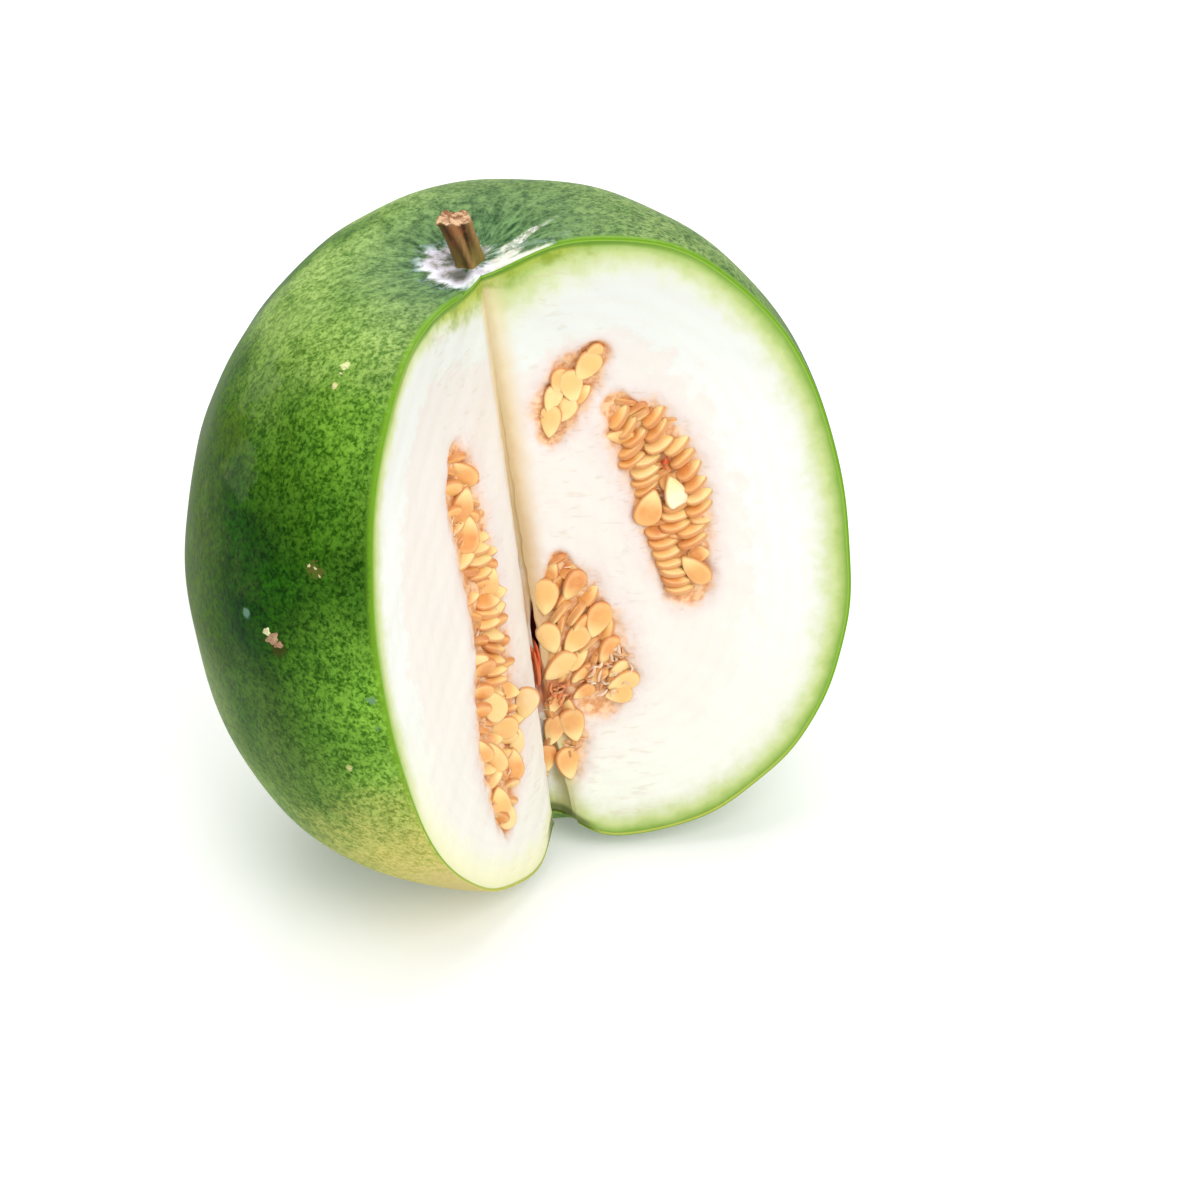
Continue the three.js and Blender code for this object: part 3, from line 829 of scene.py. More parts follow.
class RindFinish(Finish):
    """Waxy green skin: fine dark mottling, streaks that run out from the stem, wax, bloom and small scars,
    with painted light, sheen and shade.
    """

    name = "mottled waxy rind"
    shine = {"Specular_IOR_Level": 0.04}
    grain = (0.35, 1.6, 0.4)
    bump = (0.5, 0.25)
    stem_foot = (-15.0, -0.3, 214.7)
    # Where a painted shadow falls in front of the stem's foot.
    stem_foot_shadow = (-18.5, -8.0, 213.5)
    notch_foot = (13.8, -31.6, 14.0)
    pale_base = (-14.0, -92.0, 24.0)
    marks = (
        SkinMark((-53.5, -54.6, 206.9), 1.7, 2.2, srgb(222, 224, 160)),
        SkinMark((-56.5, -59.8, 202.7), 1.2, 2.0, srgb(214, 204, 140)),
        SkinMark((-62.6, -93.6, 155.9), 2.8, 3.4, srgb(90, 92, 38)),
        # Painted shadow of the scab beside it, below and to its right.
        SkinMark((-75.0, -92.6, 126.0), 3.4, 2.0, srgb(58, 62, 16)),
        SkinMark((-85.5, -82.6, 132.6), 2.6, 0.8, srgb(44, 84, 44)),
        SkinMark((-85.5, -82.6, 132.9), 1.9, 0.9, srgb(106, 142, 122)),
        SkinMark((-53.5, -103.6, 87.1), 1.4, 1.6, srgb(186, 192, 118)),
        SkinMark((-45.3, -107.7, 116.2), 1.5, 3.0, srgb(108, 140, 112)),
        SkinMark((-44.0, -107.2, 106.0), 1.3, 3.0, srgb(108, 140, 108)),
    )
    patches = (
        SkinMark((-81.2, -40.7, 192.8), 10.0, 2.2, srgb(150, 172, 124)),
        SkinMark((-87.8, -59.8, 171.9), 9.0, 2.2, srgb(128, 152, 108)),
        SkinMark((-93.0, -46.0, 176.0), 11.0, 2.2, srgb(128, 150, 44)),
        SkinMark((-72.0, -22.0, 204.0), 14.0, 2.2, srgb(166, 190, 112)),
        SkinMark((-99.0, -62.0, 146.0), 9.0, 2.2, srgb(104, 130, 62)),
    )
    wax_spots = (
        ((-25.0, -0.6, 0.0), 6.4), ((-23.0, 3.8, 0.0), 4.6), ((-23.0, -7.2, 0.0), 5.8),
        ((-18.6, -11.4, 0.0), 5.4), ((-12.0, -9.0, 0.0), 4.4), ((-6.6, -5.4, 0.0), 4.0),
        ((-2.6, -3.0, 0.0), 3.4), ((-27.0, 4.0, 0.0), 3.2), ((-14.0, 3.6, 0.0), 4.4),
    )
    streak_start = (-5.5, 0.6, 0.0)
    streak_heading = (0.83, 0.56, 0.0)

    def rays(self, gap: Value, fine: float, quick: float, **more: Value) -> Socket:
        """Noise drawn out from the stem, of scale fine across its rays and quick along them."""
        sheet = self.sheet
        heading = sheet.vector("NORMALIZE", sheet.vector("SUBTRACT", self.place, self.stem_foot))
        return sheet.noise(sheet.scaled(heading, fine), 1.0, 3.0, 0.6, W=sheet.times(gap, quick), **more)

    def mottling(self, gap: Value) -> Socket:
        """Lightness of the fine mottling, from 0 in its dark dots to 1, with dashes near the stem.

        Args:
            gap: Distance from the foot of the stem.

        Returns:
            The lightness.
        """
        sheet, place = self.sheet, self.place
        broad = sheet.times(sheet.sway(place, 0.36, 2.0, 0.5), 1.35)
        fine = sheet.times(sheet.sway(place, 0.82, 3.0, 0.55, Distortion=0.5), 2.1)
        worms = sheet.fall(sheet.math("ABSOLUTE", sheet.sway(place, 0.5, 1.5, 0.5)), 0.0, 0.055, 0.20)
        worms = sheet.times(worms, sheet.ease(sheet.axes(place)[2], 60.0, 125.0, (1.0, 0.35)))
        dashes = sheet.times(sheet.less(self.rays(gap, 10.5, 0.16, Distortion=0.4), 0.5), 3.6)
        near = sheet.fall(gap, 14.0, 64.0, 0.62)
        net = sheet.times(sheet.plus(broad, fine, worms), sheet.less(1.0, near))
        return sheet.plus(net, sheet.times(dashes, near), 0.5)

    def ground(self, gap: Value) -> list[Socket]:
        """Colours of the dark dots and of the light net, paler to the stem end, the base and the left cut,
        partly as painted light.

        Args:
            gap: Distance from the foot of the stem.

        Returns:
            The colours of the dots and of the net.
        """
        sheet, place = self.sheet, self.place
        x, y, height = sheet.axes(place)
        back = sheet.ease(y, -40.0, 50.0)
        drift = sheet.times(sheet.sway(place, 0.022, 2.0, 0.5), 60.0, sheet.ease(back, 0.0, 1.0, (1.0, 2.2)))
        level = sheet.plus(height, drift)
        top = sheet.ease(level, 160.0, 214.0)
        side = sheet.fall(sheet.plus(sheet.attribute("left"), sheet.times(drift, 0.4)), 4.0, 46.0)
        belt = sheet.ease(sheet.math("ABSOLUTE", sheet.less(height, 162.0)), 8.0, 44.0, (0.20, 1.0))
        rim = sheet.fall(x, -108.0, -88.0)
        patch = self.blotches(place, 24.0, 0.36, 0.64)
        tint = self.blotches(sheet.scaled(place, 1.7), 26.0, 0.42, 0.66)
        dark = sheet.mix(patch, srgb(0, 34, 0), srgb(4, 44, 0))
        pale = sheet.mix(patch, srgb(20, 72, 0), srgb(32, 92, 0))
        # Painted light among these zones: lighter low down (floor bounce), lighter to the top, lighter by the
        # left cut and along the left edge; the rest is the rind's own tone.
        for share, dot, net in (
            (sheet.times(back, 0.7), (26, 72, 8), (72, 124, 34)),
            (sheet.times(side, belt), (52, 102, 8), (138, 192, 66)),
            (sheet.fall(level, 34.0, 122.0), (84, 124, 40), (148, 180, 88)),
            (top, (44, 88, 4), (116, 158, 46)),
            (sheet.ease(level, 182.0, 222.0), (98, 138, 52), (182, 208, 120)),
            (sheet.times(sheet.ease(x, -58.0, -12.0), top), (62, 96, 44), (138, 164, 96)),
            # Left edge: lighter as painted sheen, and lighter still low down as painted light.
            (sheet.times(rim, 0.6), (50, 84, 0), (104, 136, 10)),
            (sheet.times(rim, sheet.fall(height, 70.0, 116.0, 0.85)), (96, 124, 62), (158, 180, 118)),
            (sheet.times(tint, 0.30), (16, 62, 8), (66, 118, 34)),
            (sheet.fall(gap, 10.0, 62.0, 0.95), (28, 62, 34), (106, 144, 92)),
        ):
            dark = sheet.mix(share, dark, srgb(*dot))
            pale = sheet.mix(share, pale, srgb(*net))
        return [dark, pale]

    def bloom_and_sheen(self) -> Socket:
        """Mask of the greyish bloom that lies in soft patches on the skin's left side, away from the notch,
        partly painted sheen.

        Returns:
            The mask.
        """
        sheet, place = self.sheet, self.place
        side = sheet.fall(sheet.axes(place)[0], -106.0, -64.0)
        patch = self.blotches(place, 15.0, 0.46, 0.68)
        specks = self.blotches(place, 2.2, 0.30, 0.66)
        return sheet.times(side, patch, specks)

    def blossom_end(self, light: Value, skin: Value) -> Socket:
        """Pales the skin towards the base under the left cut, where it turns cream and then tan.

        Args:
            light: Mask of the light net.
            skin: Colour of the skin.

        Returns:
            The new colour.
        """
        sheet, place = self.sheet, self.place
        wander = sheet.times(sheet.sway(place, 0.07, 3.0, 0.55), 34.0)
        gap = sheet.plus(sheet.distance(place, self.pale_base), wander)
        gap = sheet.less(gap, sheet.times(sheet.less(light, 0.5), 9.0))
        cream = sheet.mix(light, srgb(182, 178, 82), srgb(218, 206, 122))
        pale = sheet.mix(sheet.fall(gap, 20.0, 74.0, 0.95), skin, cream)
        return sheet.mix(sheet.fall(gap, 6.0, 34.0, 0.7), pale, srgb(206, 188, 128))

    def paint(self) -> Paint:
        """Skin with its band along the cuts, bloom and painted sheen, pale base, marks and wax, and the cut
        edge of the rind.

        Returns:
            Colour, roughness and heights.
        """
        sheet, place = self.sheet, self.place
        gap = sheet.distance(place, self.stem_foot)
        light = self.mottling(gap)
        mask = sheet.ease(light, 0.02, 0.98)
        band = sheet.plus(sheet.attribute("edge"), sheet.times(sheet.less(light, 0.5), 1.6))
        skin = sheet.layers(
            sheet.mix(mask, *self.ground(gap)),
            (sheet.fall(band, 0.1, 2.6, 0.85), srgb(114, 160, 38)),
            # Bloom, partly painted sheen along the left side.
            (sheet.times(self.bloom_and_sheen(), 0.20), srgb(140, 160, 84)),
        )
        skin = self.blossom_end(mask, skin)
        for strength, grain, spots in ((0.12, 0.16, self.patches), (0.85, 0.75, self.marks)):
            for mark in spots:
                shape = {"Centre": mark.centre, "Radius": mark.radius, "Ragged": mark.ragged, "Grain": grain}
                spot = sheet.group(self.effects.spot, Place=place, **shape)
                skin = sheet.mix(sheet.times(spot, strength), skin, mark.colour)
        skin, wax = self.wax(gap, skin)
        depth = sheet.attribute("depth")
        cut_edge = sheet.layers(
            srgb(104, 154, 32),
            (sheet.ease(depth, 0.4, 1.1), srgb(146, 182, 74)),
            (sheet.fall(sheet.axes(place)[2], 10.0, 64.0, 0.85), srgb(184, 186, 92)),
            (sheet.fall(sheet.distance(place, self.notch_foot), 9.0, 16.0, 0.9), srgb(70, 84, 16)),
        )
        colour = sheet.mix(sheet.ease(depth, 0.12, 0.5), skin, cut_edge)
        relief = (sheet.times(mask, 0.25), sheet.times(wax, 0.8))
        return colour, sheet.ease(mask, 0.0, 1.0, (0.40, 0.52)), relief

    def streak(self, level: Value, flakes: Value) -> Socket:
        """Mask of the narrow streak of wax that runs from the stem to the far right.

        Args:
            level: The same without their height.
            flakes: Noise that breaks the wax up.

        Returns:
            The mask.
        """
        sheet, place = self.sheet, self.place
        start = sheet.vector("SUBTRACT", level, self.streak_start)
        across = (-self.streak_heading[1], self.streak_heading[0], 0.0)
        along = sheet.vector("DOT_PRODUCT", start, self.streak_heading, "Value")
        aside = sheet.vector("DOT_PRODUCT", start, across, "Value")
        aside = sheet.math("ABSOLUTE", sheet.plus(aside, sheet.times(sheet.sway(place, 0.14, 2.0, 0.5), 4.0)))
        narrow = sheet.ease(sheet.less(sheet.ease(along, 2.0, 24.0, (2.5, 0.7)), aside), -0.6, 0.6)
        reach = sheet.times(sheet.ease(along, -2.0, 1.0), sheet.fall(along, 10.0, 26.0))
        return sheet.times(narrow, reach, sheet.ease(flakes, 0.30, 0.60))

    def wax(self, gap: Value, skin: Value) -> tuple[Socket, Socket]:
        """Silvery wax in the stem's dimple: streaky, whitest at its border, with painted shade round and in
        front of the stem's foot.

        Args:
            gap: Distance from the foot of the stem.
            skin: Colour of the skin under the wax.

        Returns:
            The new colour and the mask of the wax.
        """
        sheet, place = self.sheet, self.place
        x, y, height = sheet.axes(place)
        level = sheet.joined(x, y, 0.0)
        spots = [sheet.less(sheet.distance(level, centre), radius) for centre, radius in self.wax_spots]
        hug = sheet.less(sheet.attribute("edge"), sheet.ease(x, -8.0, 12.0, (4.8, 1.2)))
        hug = sheet.math("MAXIMUM", hug, sheet.less(x, 10.0), sheet.less(-15.0, x), sheet.less(190.0, height))
        rays = self.rays(gap, 5.0, 0.20)
        flakes = sheet.noise(place, 0.42, 4.0, 0.65, Distortion=0.6)
        texture = sheet.plus(sheet.times(rays, 0.75), sheet.times(flakes, 0.25))
        ragged = sheet.times(sheet.less(0.5, texture), 9.0, sheet.ease(hug, -1.0, 3.0, (0.6, 1.0)))
        outside = sheet.plus(sheet.math("MINIMUM", *spots, hug), ragged)
        streak = self.streak(level, flakes)
        wax = sheet.math("MAXIMUM", sheet.fall(outside, -2.4, 2.0), sheet.times(streak, 0.85))
        border = sheet.times(sheet.ease(outside, -4.2, -1.0), sheet.fall(outside, -0.4, 1.4))
        border = sheet.times(border, sheet.ease(y, -6.0, 2.0, (1.0, 0.3)))
        fibres = sheet.plus(sheet.times(flakes, 0.6), sheet.times(rays, 0.7))
        tone = sheet.plus(fibres, sheet.times(border, 0.30), sheet.ease(hug, -1.6, 1.0, (0.04, -0.12)))
        # Darker near the stem's foot: painted shade.
        tone = sheet.less(sheet.plus(tone, sheet.times(streak, 0.2)), sheet.fall(gap, 4.5, 11.0, 0.20))
        silver = sheet.ramp(
            tone, (0.30, 70, 78, 66), (0.44, 126, 128, 118), (0.54, 172, 166, 168), (0.68, 206, 202, 214),
            (0.86, 240, 241, 244),
        )
        silver = sheet.mix(sheet.times(sheet.ease(x, -12.0, -6.0), 0.5), silver, srgb(232, 236, 200))
        # Painted shadow: a dark line just outside the wax, strongest on its left.
        shadow = sheet.times(sheet.ease(outside, 0.2, 1.2), sheet.fall(outside, 2.0, 5.0))
        shadow = sheet.times(shadow, sheet.ease(x, -22.0, -12.0, (0.45, 0.2)))
        haze = sheet.times(sheet.fall(outside, 0.0, 7.0, 0.7), sheet.ease(rays, 0.46, 0.62))
        # Painted shadow in front of the stem's foot.
        front = sheet.plus(sheet.distance(place, self.stem_foot_shadow), sheet.times(ragged, 0.5))
        skin = sheet.layers(
            skin,
            (shadow, srgb(24, 52, 22)),
            (haze, srgb(162, 186, 180)),
            (wax, silver),
            (sheet.fall(front, 1.6, 5.4, 0.85), srgb(66, 72, 50)),
        )
        return skin, wax


class FleshFinish(Finish):
    """Moist white flesh: green under the rind, pink and orange-brown in the beds, painted beige shade along
    the gutter.
    """

    name = "moist white flesh"
    shine = {
        "Specular_IOR_Level": 0.4, "Subsurface_Weight": 0.25, "Subsurface_Scale": 0.004,
        "Subsurface_Radius": (1.0, 0.85, 0.6), "Coat_Weight": 0.10, "Coat_Roughness": 0.25,
    }
    grain = (0.18, 0.9, 0.3)
    bump = (0.35, 0.35)
    ring_scale = 0.05
    # Centre of the orange-brown pulp at the top of the low bed, darkened as painted shade.
    pulp_shade_spot = (11.2, -25.7, 61.0)

    def paint(self) -> Paint:
        """Flesh from the green under the rind to the core, then the beds, the pith's marks and the crease's
        painted shade.

        Returns:
            Colour, roughness and heights.
        """
        sheet, place = self.sheet, self.place
        skin_gap = sheet.attribute("depth")
        bed = sheet.attribute("bed")
        height = sheet.axes(place)[2]
        fibres = sheet.noise(place, 0.16, 4.0, 0.6)
        sway = sheet.less(fibres, 0.5)
        gap = sheet.distance(place, RindFinish.stem_foot)
        left_face = sheet.ease(sheet.attribute("turn"), 0.97, 1.0)
        sole = sheet.times(left_face, sheet.fall(height, 40.0, 110.0))
        depth = sheet.times(
            skin_gap,
            sheet.ease(fibres, 0.2, 0.8, (0.8, 1.25)),
            sheet.ease(gap, 16.0, 58.0, (0.52, 1.0)),
            sheet.ease(left_face, 0.0, 1.0, (1.0, 1.8)),
            sheet.ease(sole, 0.0, 1.0, (1.0, 1.7)),
        )
        low, high = sheet.fall(height, 20.0, 130.0), sheet.ease(height, 150.0, 215.0)
        outer = sheet.layers(srgb(230, 233, 228), (low, srgb(232, 233, 222)), (high, srgb(218, 221, 216)))
        inner = sheet.layers(srgb(230, 224, 217), (low, srgb(232, 230, 221)), (high, srgb(219, 215, 210)))
        core = sheet.mix(sheet.ease(sheet.plus(depth, sheet.times(sway, 7.0)), 30.0, 38.0), outer, inner)
        wave = {"Scale": self.ring_scale, "Distortion": 1.5, "Detail": 2.0}
        wave["Vector"] = sheet.joined(skin_gap, 0.0, 0.0)
        rings = sheet.put("ShaderNodeTexWave", wave).outputs["Fac"]
        core = sheet.mix(sheet.ease(rings, 0.55, 1.0, (0.0, 0.12)), core, srgb(222, 214, 204))
        under = sheet.ramp(
            sheet.math("DIVIDE", depth, 24.0),
            (0.06, 120, 160, 50), (0.11, 152, 180, 86), (0.22, 190, 204, 136),
            (0.40, 212, 218, 186), (0.64, 222, 223, 210),
        )
        skin_line = sheet.times(sheet.fall(gap, 22.0, 60.0), sheet.fall(depth, 0.6, 1.6))
        colour = sheet.layers(
            under,
            (skin_line, srgb(98, 132, 16)),
            (sheet.ease(depth, 7.0, 18.0), core),
            (sheet.times(sole, sheet.fall(depth, 8.0, 50.0, 0.85)), srgb(233, 231, 186)),
        )
        colour = self.beds(bed, sway, colour)
        colour = self.pith_marks(bed, colour)
        colour = self.crease(gap, colour)
        return colour, sheet.ease(fibres, 0.3, 0.7, (0.36, 0.50)), ()

    def beds(self, bed: Value, sway: Value, colour: Value) -> Socket:
        """Lays the seed beds over the flesh: pinkish halo, blush, orange-brown pulp and a frayed border with
        painted shade.

        Args:
            bed: Distance from the bed's line, as a share of its half width.
            sway: Slow noise of about -0.5 to 0.5.
            colour: Colour of the flesh.

        Returns:
            The new colour.
        """
        sheet, place = self.sheet, self.place
        ragged = sheet.times(sheet.sway(place, 0.34, 3.0, 0.6), 0.55)
        near = sheet.plus(bed, ragged, sheet.times(sway, 0.5))
        crumbs = sheet.ease(sheet.noise(place, 0.36, 3.0, 0.6), 0.36, 0.62)
        dashes = sheet.noise(sheet.vector("MULTIPLY", place, (0.30, 0.30, 0.75)), 1.0, 2.0, 0.5)
        frayed = sheet.times(sheet.ease(bed, 0.85, 1.0), sheet.fall(bed, 1.1, 1.35))
        return sheet.layers(
            colour,
            (sheet.times(sheet.fall(near, 0.95, 1.7), 0.7), srgb(224, 208, 204)),
            (sheet.fall(near, 0.8, 1.25, 0.65), srgb(232, 204, 178)),
            (sheet.fall(near, 0.66, 1.04), sheet.mix(crumbs, srgb(216, 150, 94), srgb(242, 202, 156))),
            # Frayed border: fibres, darkened as a painted shade line along the bed's edge.
            (sheet.times(frayed, sheet.ease(dashes, 0.55, 0.68, (0.0, 0.22))), srgb(186, 158, 132)),
        )

    def pith_marks(self, bed: Value, colour: Value) -> Socket:
        """Lays faint grey dashes, drawn out level, over the pith between the root and the seed beds.

        Args:
            bed: Distance from the bed's line, as a share of its half width.
            colour: Colour of the flesh.

        Returns:
            The new colour.
        """
        sheet, place = self.sheet, self.place
        root = sheet.attribute("root")
        level = sheet.vector("MULTIPLY", place, (0.13, 0.13, 0.45))
        dashes = sheet.noise(level, 1.0, 2.0, 0.5, Distortion=0.4)
        pith = sheet.times(sheet.ease(root, 7.0, 13.0), sheet.fall(root, 34.0, 42.0))
        mark = sheet.times(pith, sheet.ease(bed, 1.1, 1.5), sheet.ease(dashes, 0.56, 0.72), 0.26)
        return sheet.mix(mark, colour, srgb(196, 180, 154))

    def crease(self, gap: Value, colour: Value) -> Socket:
        """Lays the gutter's painted shade over the flesh, beige, darker on its left side and lower down, with
        the torn slot.

        Args:
            gap: Distance from the foot of the stem.
            colour: Colour of the flesh.

        Returns:
            The new colour.
        """
        sheet, place = self.sheet, self.place
        root, turn, slot, depth = (sheet.attribute(name) for name in ("root", "turn", "slot", "depth"))
        height = sheet.axes(place)[2]
        sway = sheet.sway(place, 0.16, 4.0, 0.6)
        away = sheet.less(sheet.plus(root, sheet.times(sway, 3.0)), sheet.fall(height, 10.0, 60.0, 1.6))
        reach = sheet.ease(turn, 0.0, 0.5, (9.5, 3.4))
        band = sheet.fall(sheet.math("DIVIDE", away, reach), 0.12, 1.0, 0.95)
        beige = sheet.ramp(
            sheet.math("DIVIDE", height, 210.0),
            (0.05, 176, 178, 118), (0.22, 204, 200, 146), (0.42, 204, 164, 112),
            (0.58, 208, 178, 132), (0.74, 220, 194, 148), (0.95, 222, 206, 164),
        )
        line = sheet.times(sheet.ease(turn, 0.45, 0.8), sheet.fall(turn, 0.97, 1.0))
        brow_shade = sheet.times(sheet.fall(away, 0.4, 3.6), sheet.fall(turn, 0.85, 1.0))
        arch = sheet.times(sheet.fall(height, 24.0, 34.0, 0.85), sheet.fall(root, 7.0, 13.0))
        crest = sheet.plus(gap, sheet.times(sway, 30.0))
        wide = sheet.ease(turn, 0.0, 0.5, (1.3, 0.8))
        strip = sheet.times(sheet.plus(depth, sheet.times(sway, 12.0)), wide)
        strip = sheet.times(sheet.fall(strip, 2.5, 11.0, 0.85), sheet.fall(crest, 30.0, 46.0))
        blotch = sheet.mix(sheet.ease(sway, -0.10, 0.12), srgb(134, 156, 16), srgb(176, 188, 66))
        rim = sheet.times(sheet.fall(depth, 1.7, 3.2, 0.95), sheet.fall(gap, 36.0, 96.0))
        torn = sheet.times(sheet.ease(height, 52.0, 60.0), sheet.fall(height, 94.0, 110.0))
        lip = sheet.times(torn, sheet.fall(away, 0.5, 5.0, 0.75), sheet.ease(turn, 0.4, 0.7))
        pulp_shade_gap = sheet.plus(sheet.distance(place, self.pulp_shade_spot), sheet.times(sway, 12.0))
        return sheet.layers(
            colour,
            # Painted shade: the gutter's beige band.
            (sheet.times(band, sheet.ease(height, 176.0, 210.0, (1.0, 0.8))), beige),
            # Painted shadow line along the gutter's left side.
            (sheet.times(line, sheet.fall(height, 90.0, 165.0, 0.85)), srgb(124, 88, 44)),
            # Painted shade to the right of that line.
            (sheet.times(brow_shade, sheet.ease(height, 130.0, 205.0, (0.55, 0.30))), srgb(184, 156, 106)),
            (sheet.times(arch, sheet.fall(depth, 2.6, 5.0)), srgb(78, 92, 22)),
            (strip, blotch),
            (rim, srgb(92, 138, 8)),
            # Painted shade where the left face's edge turns into the gutter by the torn part.
            (lip, srgb(190, 142, 108)),
            # Orange-brown pulp at the top of the low bed, darkened as painted shade.
            (sheet.fall(pulp_shade_gap, 4.5, 9.5, 0.85), srgb(190, 110, 62)),
            # The torn slot: red pulp, darkened as painted shade in its depth.
            (sheet.ease(slot, 0.08, 0.45), srgb(128, 34, 22)),
        )


class SeedFinish(Finish):
    """Smooth moist seed coat in a shade for each seed, lighter at tip (painted highlight) and margin, browner
    in the low bed (painted shade).
    """

    name = "orange-cream seed coat"
    shine = {
        "Specular_IOR_Level": 0.45, "Subsurface_Weight": 0.2, "Subsurface_Scale": 0.002,
        "Subsurface_Radius": (1.0, 0.6, 0.3), "Coat_Weight": 0.12, "Coat_Roughness": 0.2,
    }
    grain = (0.6, 2.5, 0.3)
    bump = (0.25, 0.12)
    shaded_low_bed = (13.5, -26.7, 56.0)

    def paint(self) -> Paint:
        """Coat of each seed's shade with its painted highlight at the tip, cloudy blotches, light ring and a
        brown outline of painted shade.

        Returns:
            Colour, roughness and heights.
        """
        sheet, place = self.sheet, self.place
        shade, tip, margin = (sheet.attribute(name) for name in ("shade", "tip", "margin"))
        coat = sheet.ramp(
            shade, (0.0, 216, 136, 70), (0.3, 232, 162, 90), (0.6, 242, 186, 114), (0.85, 245, 212, 148),
            (1.0, 244, 234, 204),
        )
        cloud = self.blotches(place, 4.0, 0.35, 0.7)
        colour = sheet.layers(
            coat,
            # Painted shade on the seeds that lie deep in the low bed.
            (sheet.fall(sheet.distance(place, self.shaded_low_bed), 6.0, 15.0, 0.55), srgb(206, 122, 60)),
            # Painted highlight towards the pointed tip.
            (sheet.ease(tip, -0.1, 0.85, (0.0, 0.85)), srgb(248, 226, 158)),
            (sheet.times(cloud, 0.30), srgb(244, 200, 116)),
            (sheet.ease(margin, 0.55, 0.82, (0.0, 0.25)), srgb(248, 212, 150)),
            # Brown outline: painted shade where seeds meet and overlap.
            (sheet.ease(margin, 0.86, 1.0, (0.0, 0.68)), srgb(192, 112, 54)),
        )
        return colour, sheet.ease(cloud, 0.0, 1.0, (0.34, 0.46)), ()


class PulpFinish(Finish):
    """Wet orange-brown strings of pulp, from red in the slot to pale in the tangles."""

    name = "stringy seed pulp"
    shine = {
        "Specular_IOR_Level": 0.5, "Subsurface_Weight": 0.35, "Subsurface_Scale": 0.002,
        "Subsurface_Radius": (1.0, 0.5, 0.25), "Coat_Weight": 0.2, "Coat_Roughness": 0.2, "Roughness": 0.4,
    }
    grain = (1.2, 4.0, 0.4)
    bump = (0.3, 0.1)

    def paint(self) -> Paint:
        """Each strand's shade with brown blotches.

        Returns:
            Colour, roughness and heights.
        """
        sheet, place = self.sheet, self.place
        colour = sheet.ramp(
            sheet.attribute("shade"), (0.0, 196, 60, 18), (0.25, 228, 104, 48), (0.5, 206, 138, 88),
            (0.75, 228, 178, 132), (1.0, 238, 214, 190),
        )
        cloud = self.blotches(place, 4.0, 0.35, 0.7)
        return sheet.mix(sheet.times(cloud, 0.3), colour, srgb(206, 124, 70)), None, ()


class StemFinish(Finish):
    """Dry ribbed stalk: brown with olive sides, dark in its grooves, crack and left side as painted shade,
    pale orange-beige on its cut end.
    """

    name = "dry ribbed stalk"
    shine = {"Specular_IOR_Level": 0.3}
    grain = (1.0, 3.5, 0.5)
    bump = (0.6, 0.3)

    def paint(self) -> Paint:
        """Bark by its ribs and long grain, painted shade on its left, lighter olive low on its right partly
        as painted light, blush and olive parts, and the crumbly cut end.

        Returns:
            Colour, roughness and heights.
        """
        sheet, place = self.sheet, self.place
        rib, end, side, along = (sheet.attribute(name) for name in ("rib", "cut_end", "side", "along"))
        long_grain = sheet.noise(sheet.vector("MULTIPLY", place, (2.2, 2.2, 0.22)), 1.0, 4.0, 0.65)
        # The ribs' tone is darker in the grooves and the crack: painted shade.
        bark = sheet.ramp(
            sheet.plus(sheet.times(rib, 0.55), sheet.times(long_grain, 0.5)),
            (0.12, 34, 22, 8), (0.36, 78, 54, 22), (0.58, 116, 86, 42), (0.85, 156, 124, 74),
        )
        blush = sheet.times(self.blotches(place, 4.5, 0.45, 0.62), sheet.ease(along, 0.45, 0.8), 0.5)
        bark = sheet.layers(
            bark,
            # Painted shade on the stalk's left side.
            (sheet.ease(side, 0.1, 0.9, (0.0, 0.45)), srgb(84, 58, 26)),
            # Lighter olive low on the right: the stalk's olive, partly painted light.
            (sheet.times(sheet.fall(side, 0.0, 0.15), sheet.fall(along, 0.3, 0.75, 0.6)), srgb(138, 122, 58)),
            (blush, srgb(160, 92, 58)),
            (sheet.times(sheet.ease(side, 0.3, 0.8), sheet.fall(along, 0.35, 0.7, 0.55)), srgb(122, 108, 48)),
        )
        crumbs = sheet.ease(sheet.noise(place, 0.42, 4.0, 0.65), 0.38, 0.60)
        pale = sheet.layers(
            srgb(136, 88, 54),
            (crumbs, srgb(216, 180, 142)),
            # Cut end darker on its left: painted shade.
            (sheet.ease(side, 0.15, 0.6, (0.0, 0.55)), srgb(112, 74, 40)),
        )
        return sheet.mix(end, bark, pale), sheet.ease(long_grain, 0.3, 0.7, (0.62, 0.82)), (long_grain,)


class ScabFinish(Finish):
    """Dry healed scab: brown where its shade is low and pale greenish beige where it is high."""

    name = "dry skin scab"
    shine = {"Specular_IOR_Level": 0.3}
    grain = (0.8, 2.6, 0.5)
    bump = (0.6, 0.4)

    def paint(self) -> Paint:
        """Each scab's shade, broken up by crumbs.

        Returns:
            Colour, roughness and heights.
        """
        sheet, place = self.sheet, self.place
        crumbs = sheet.noise(place, 0.7, 4.0, 0.65)
        tone = sheet.plus(sheet.attribute("shade"), sheet.times(sheet.less(crumbs, 0.5), 0.9))
        colour = sheet.ramp(
            tone, (0.0, 96, 66, 32), (0.3, 150, 110, 78), (0.6, 186, 156, 124), (1.0, 216, 216, 168)
        )
        return colour, sheet.ease(crumbs, 0.3, 0.7, (0.6, 0.85)), ()


class FloorFinish(Finish):
    """Plain pale floor, lit a little from within so that its shadows stay soft."""

    name = "plain pale floor"
    shine = {
        "Specular_IOR_Level": 0.2, "Roughness": 0.8,
        "Emission_Color": (1.0, 1.0, 1.0, 1.0), "Emission_Strength": 0.22,
    }

    def paint(self) -> Paint:
        """Two close greys in broad blotches.

        Returns:
            Colour, roughness and heights.
        """
        sheet, place = self.sheet, self.place
        tint = self.blotches(place, 900.0, 0.3, 0.7)
        return sheet.mix(tint, srgb(226, 226, 225), srgb(229, 229, 228)), None, ()


# The fruit: rind and flesh


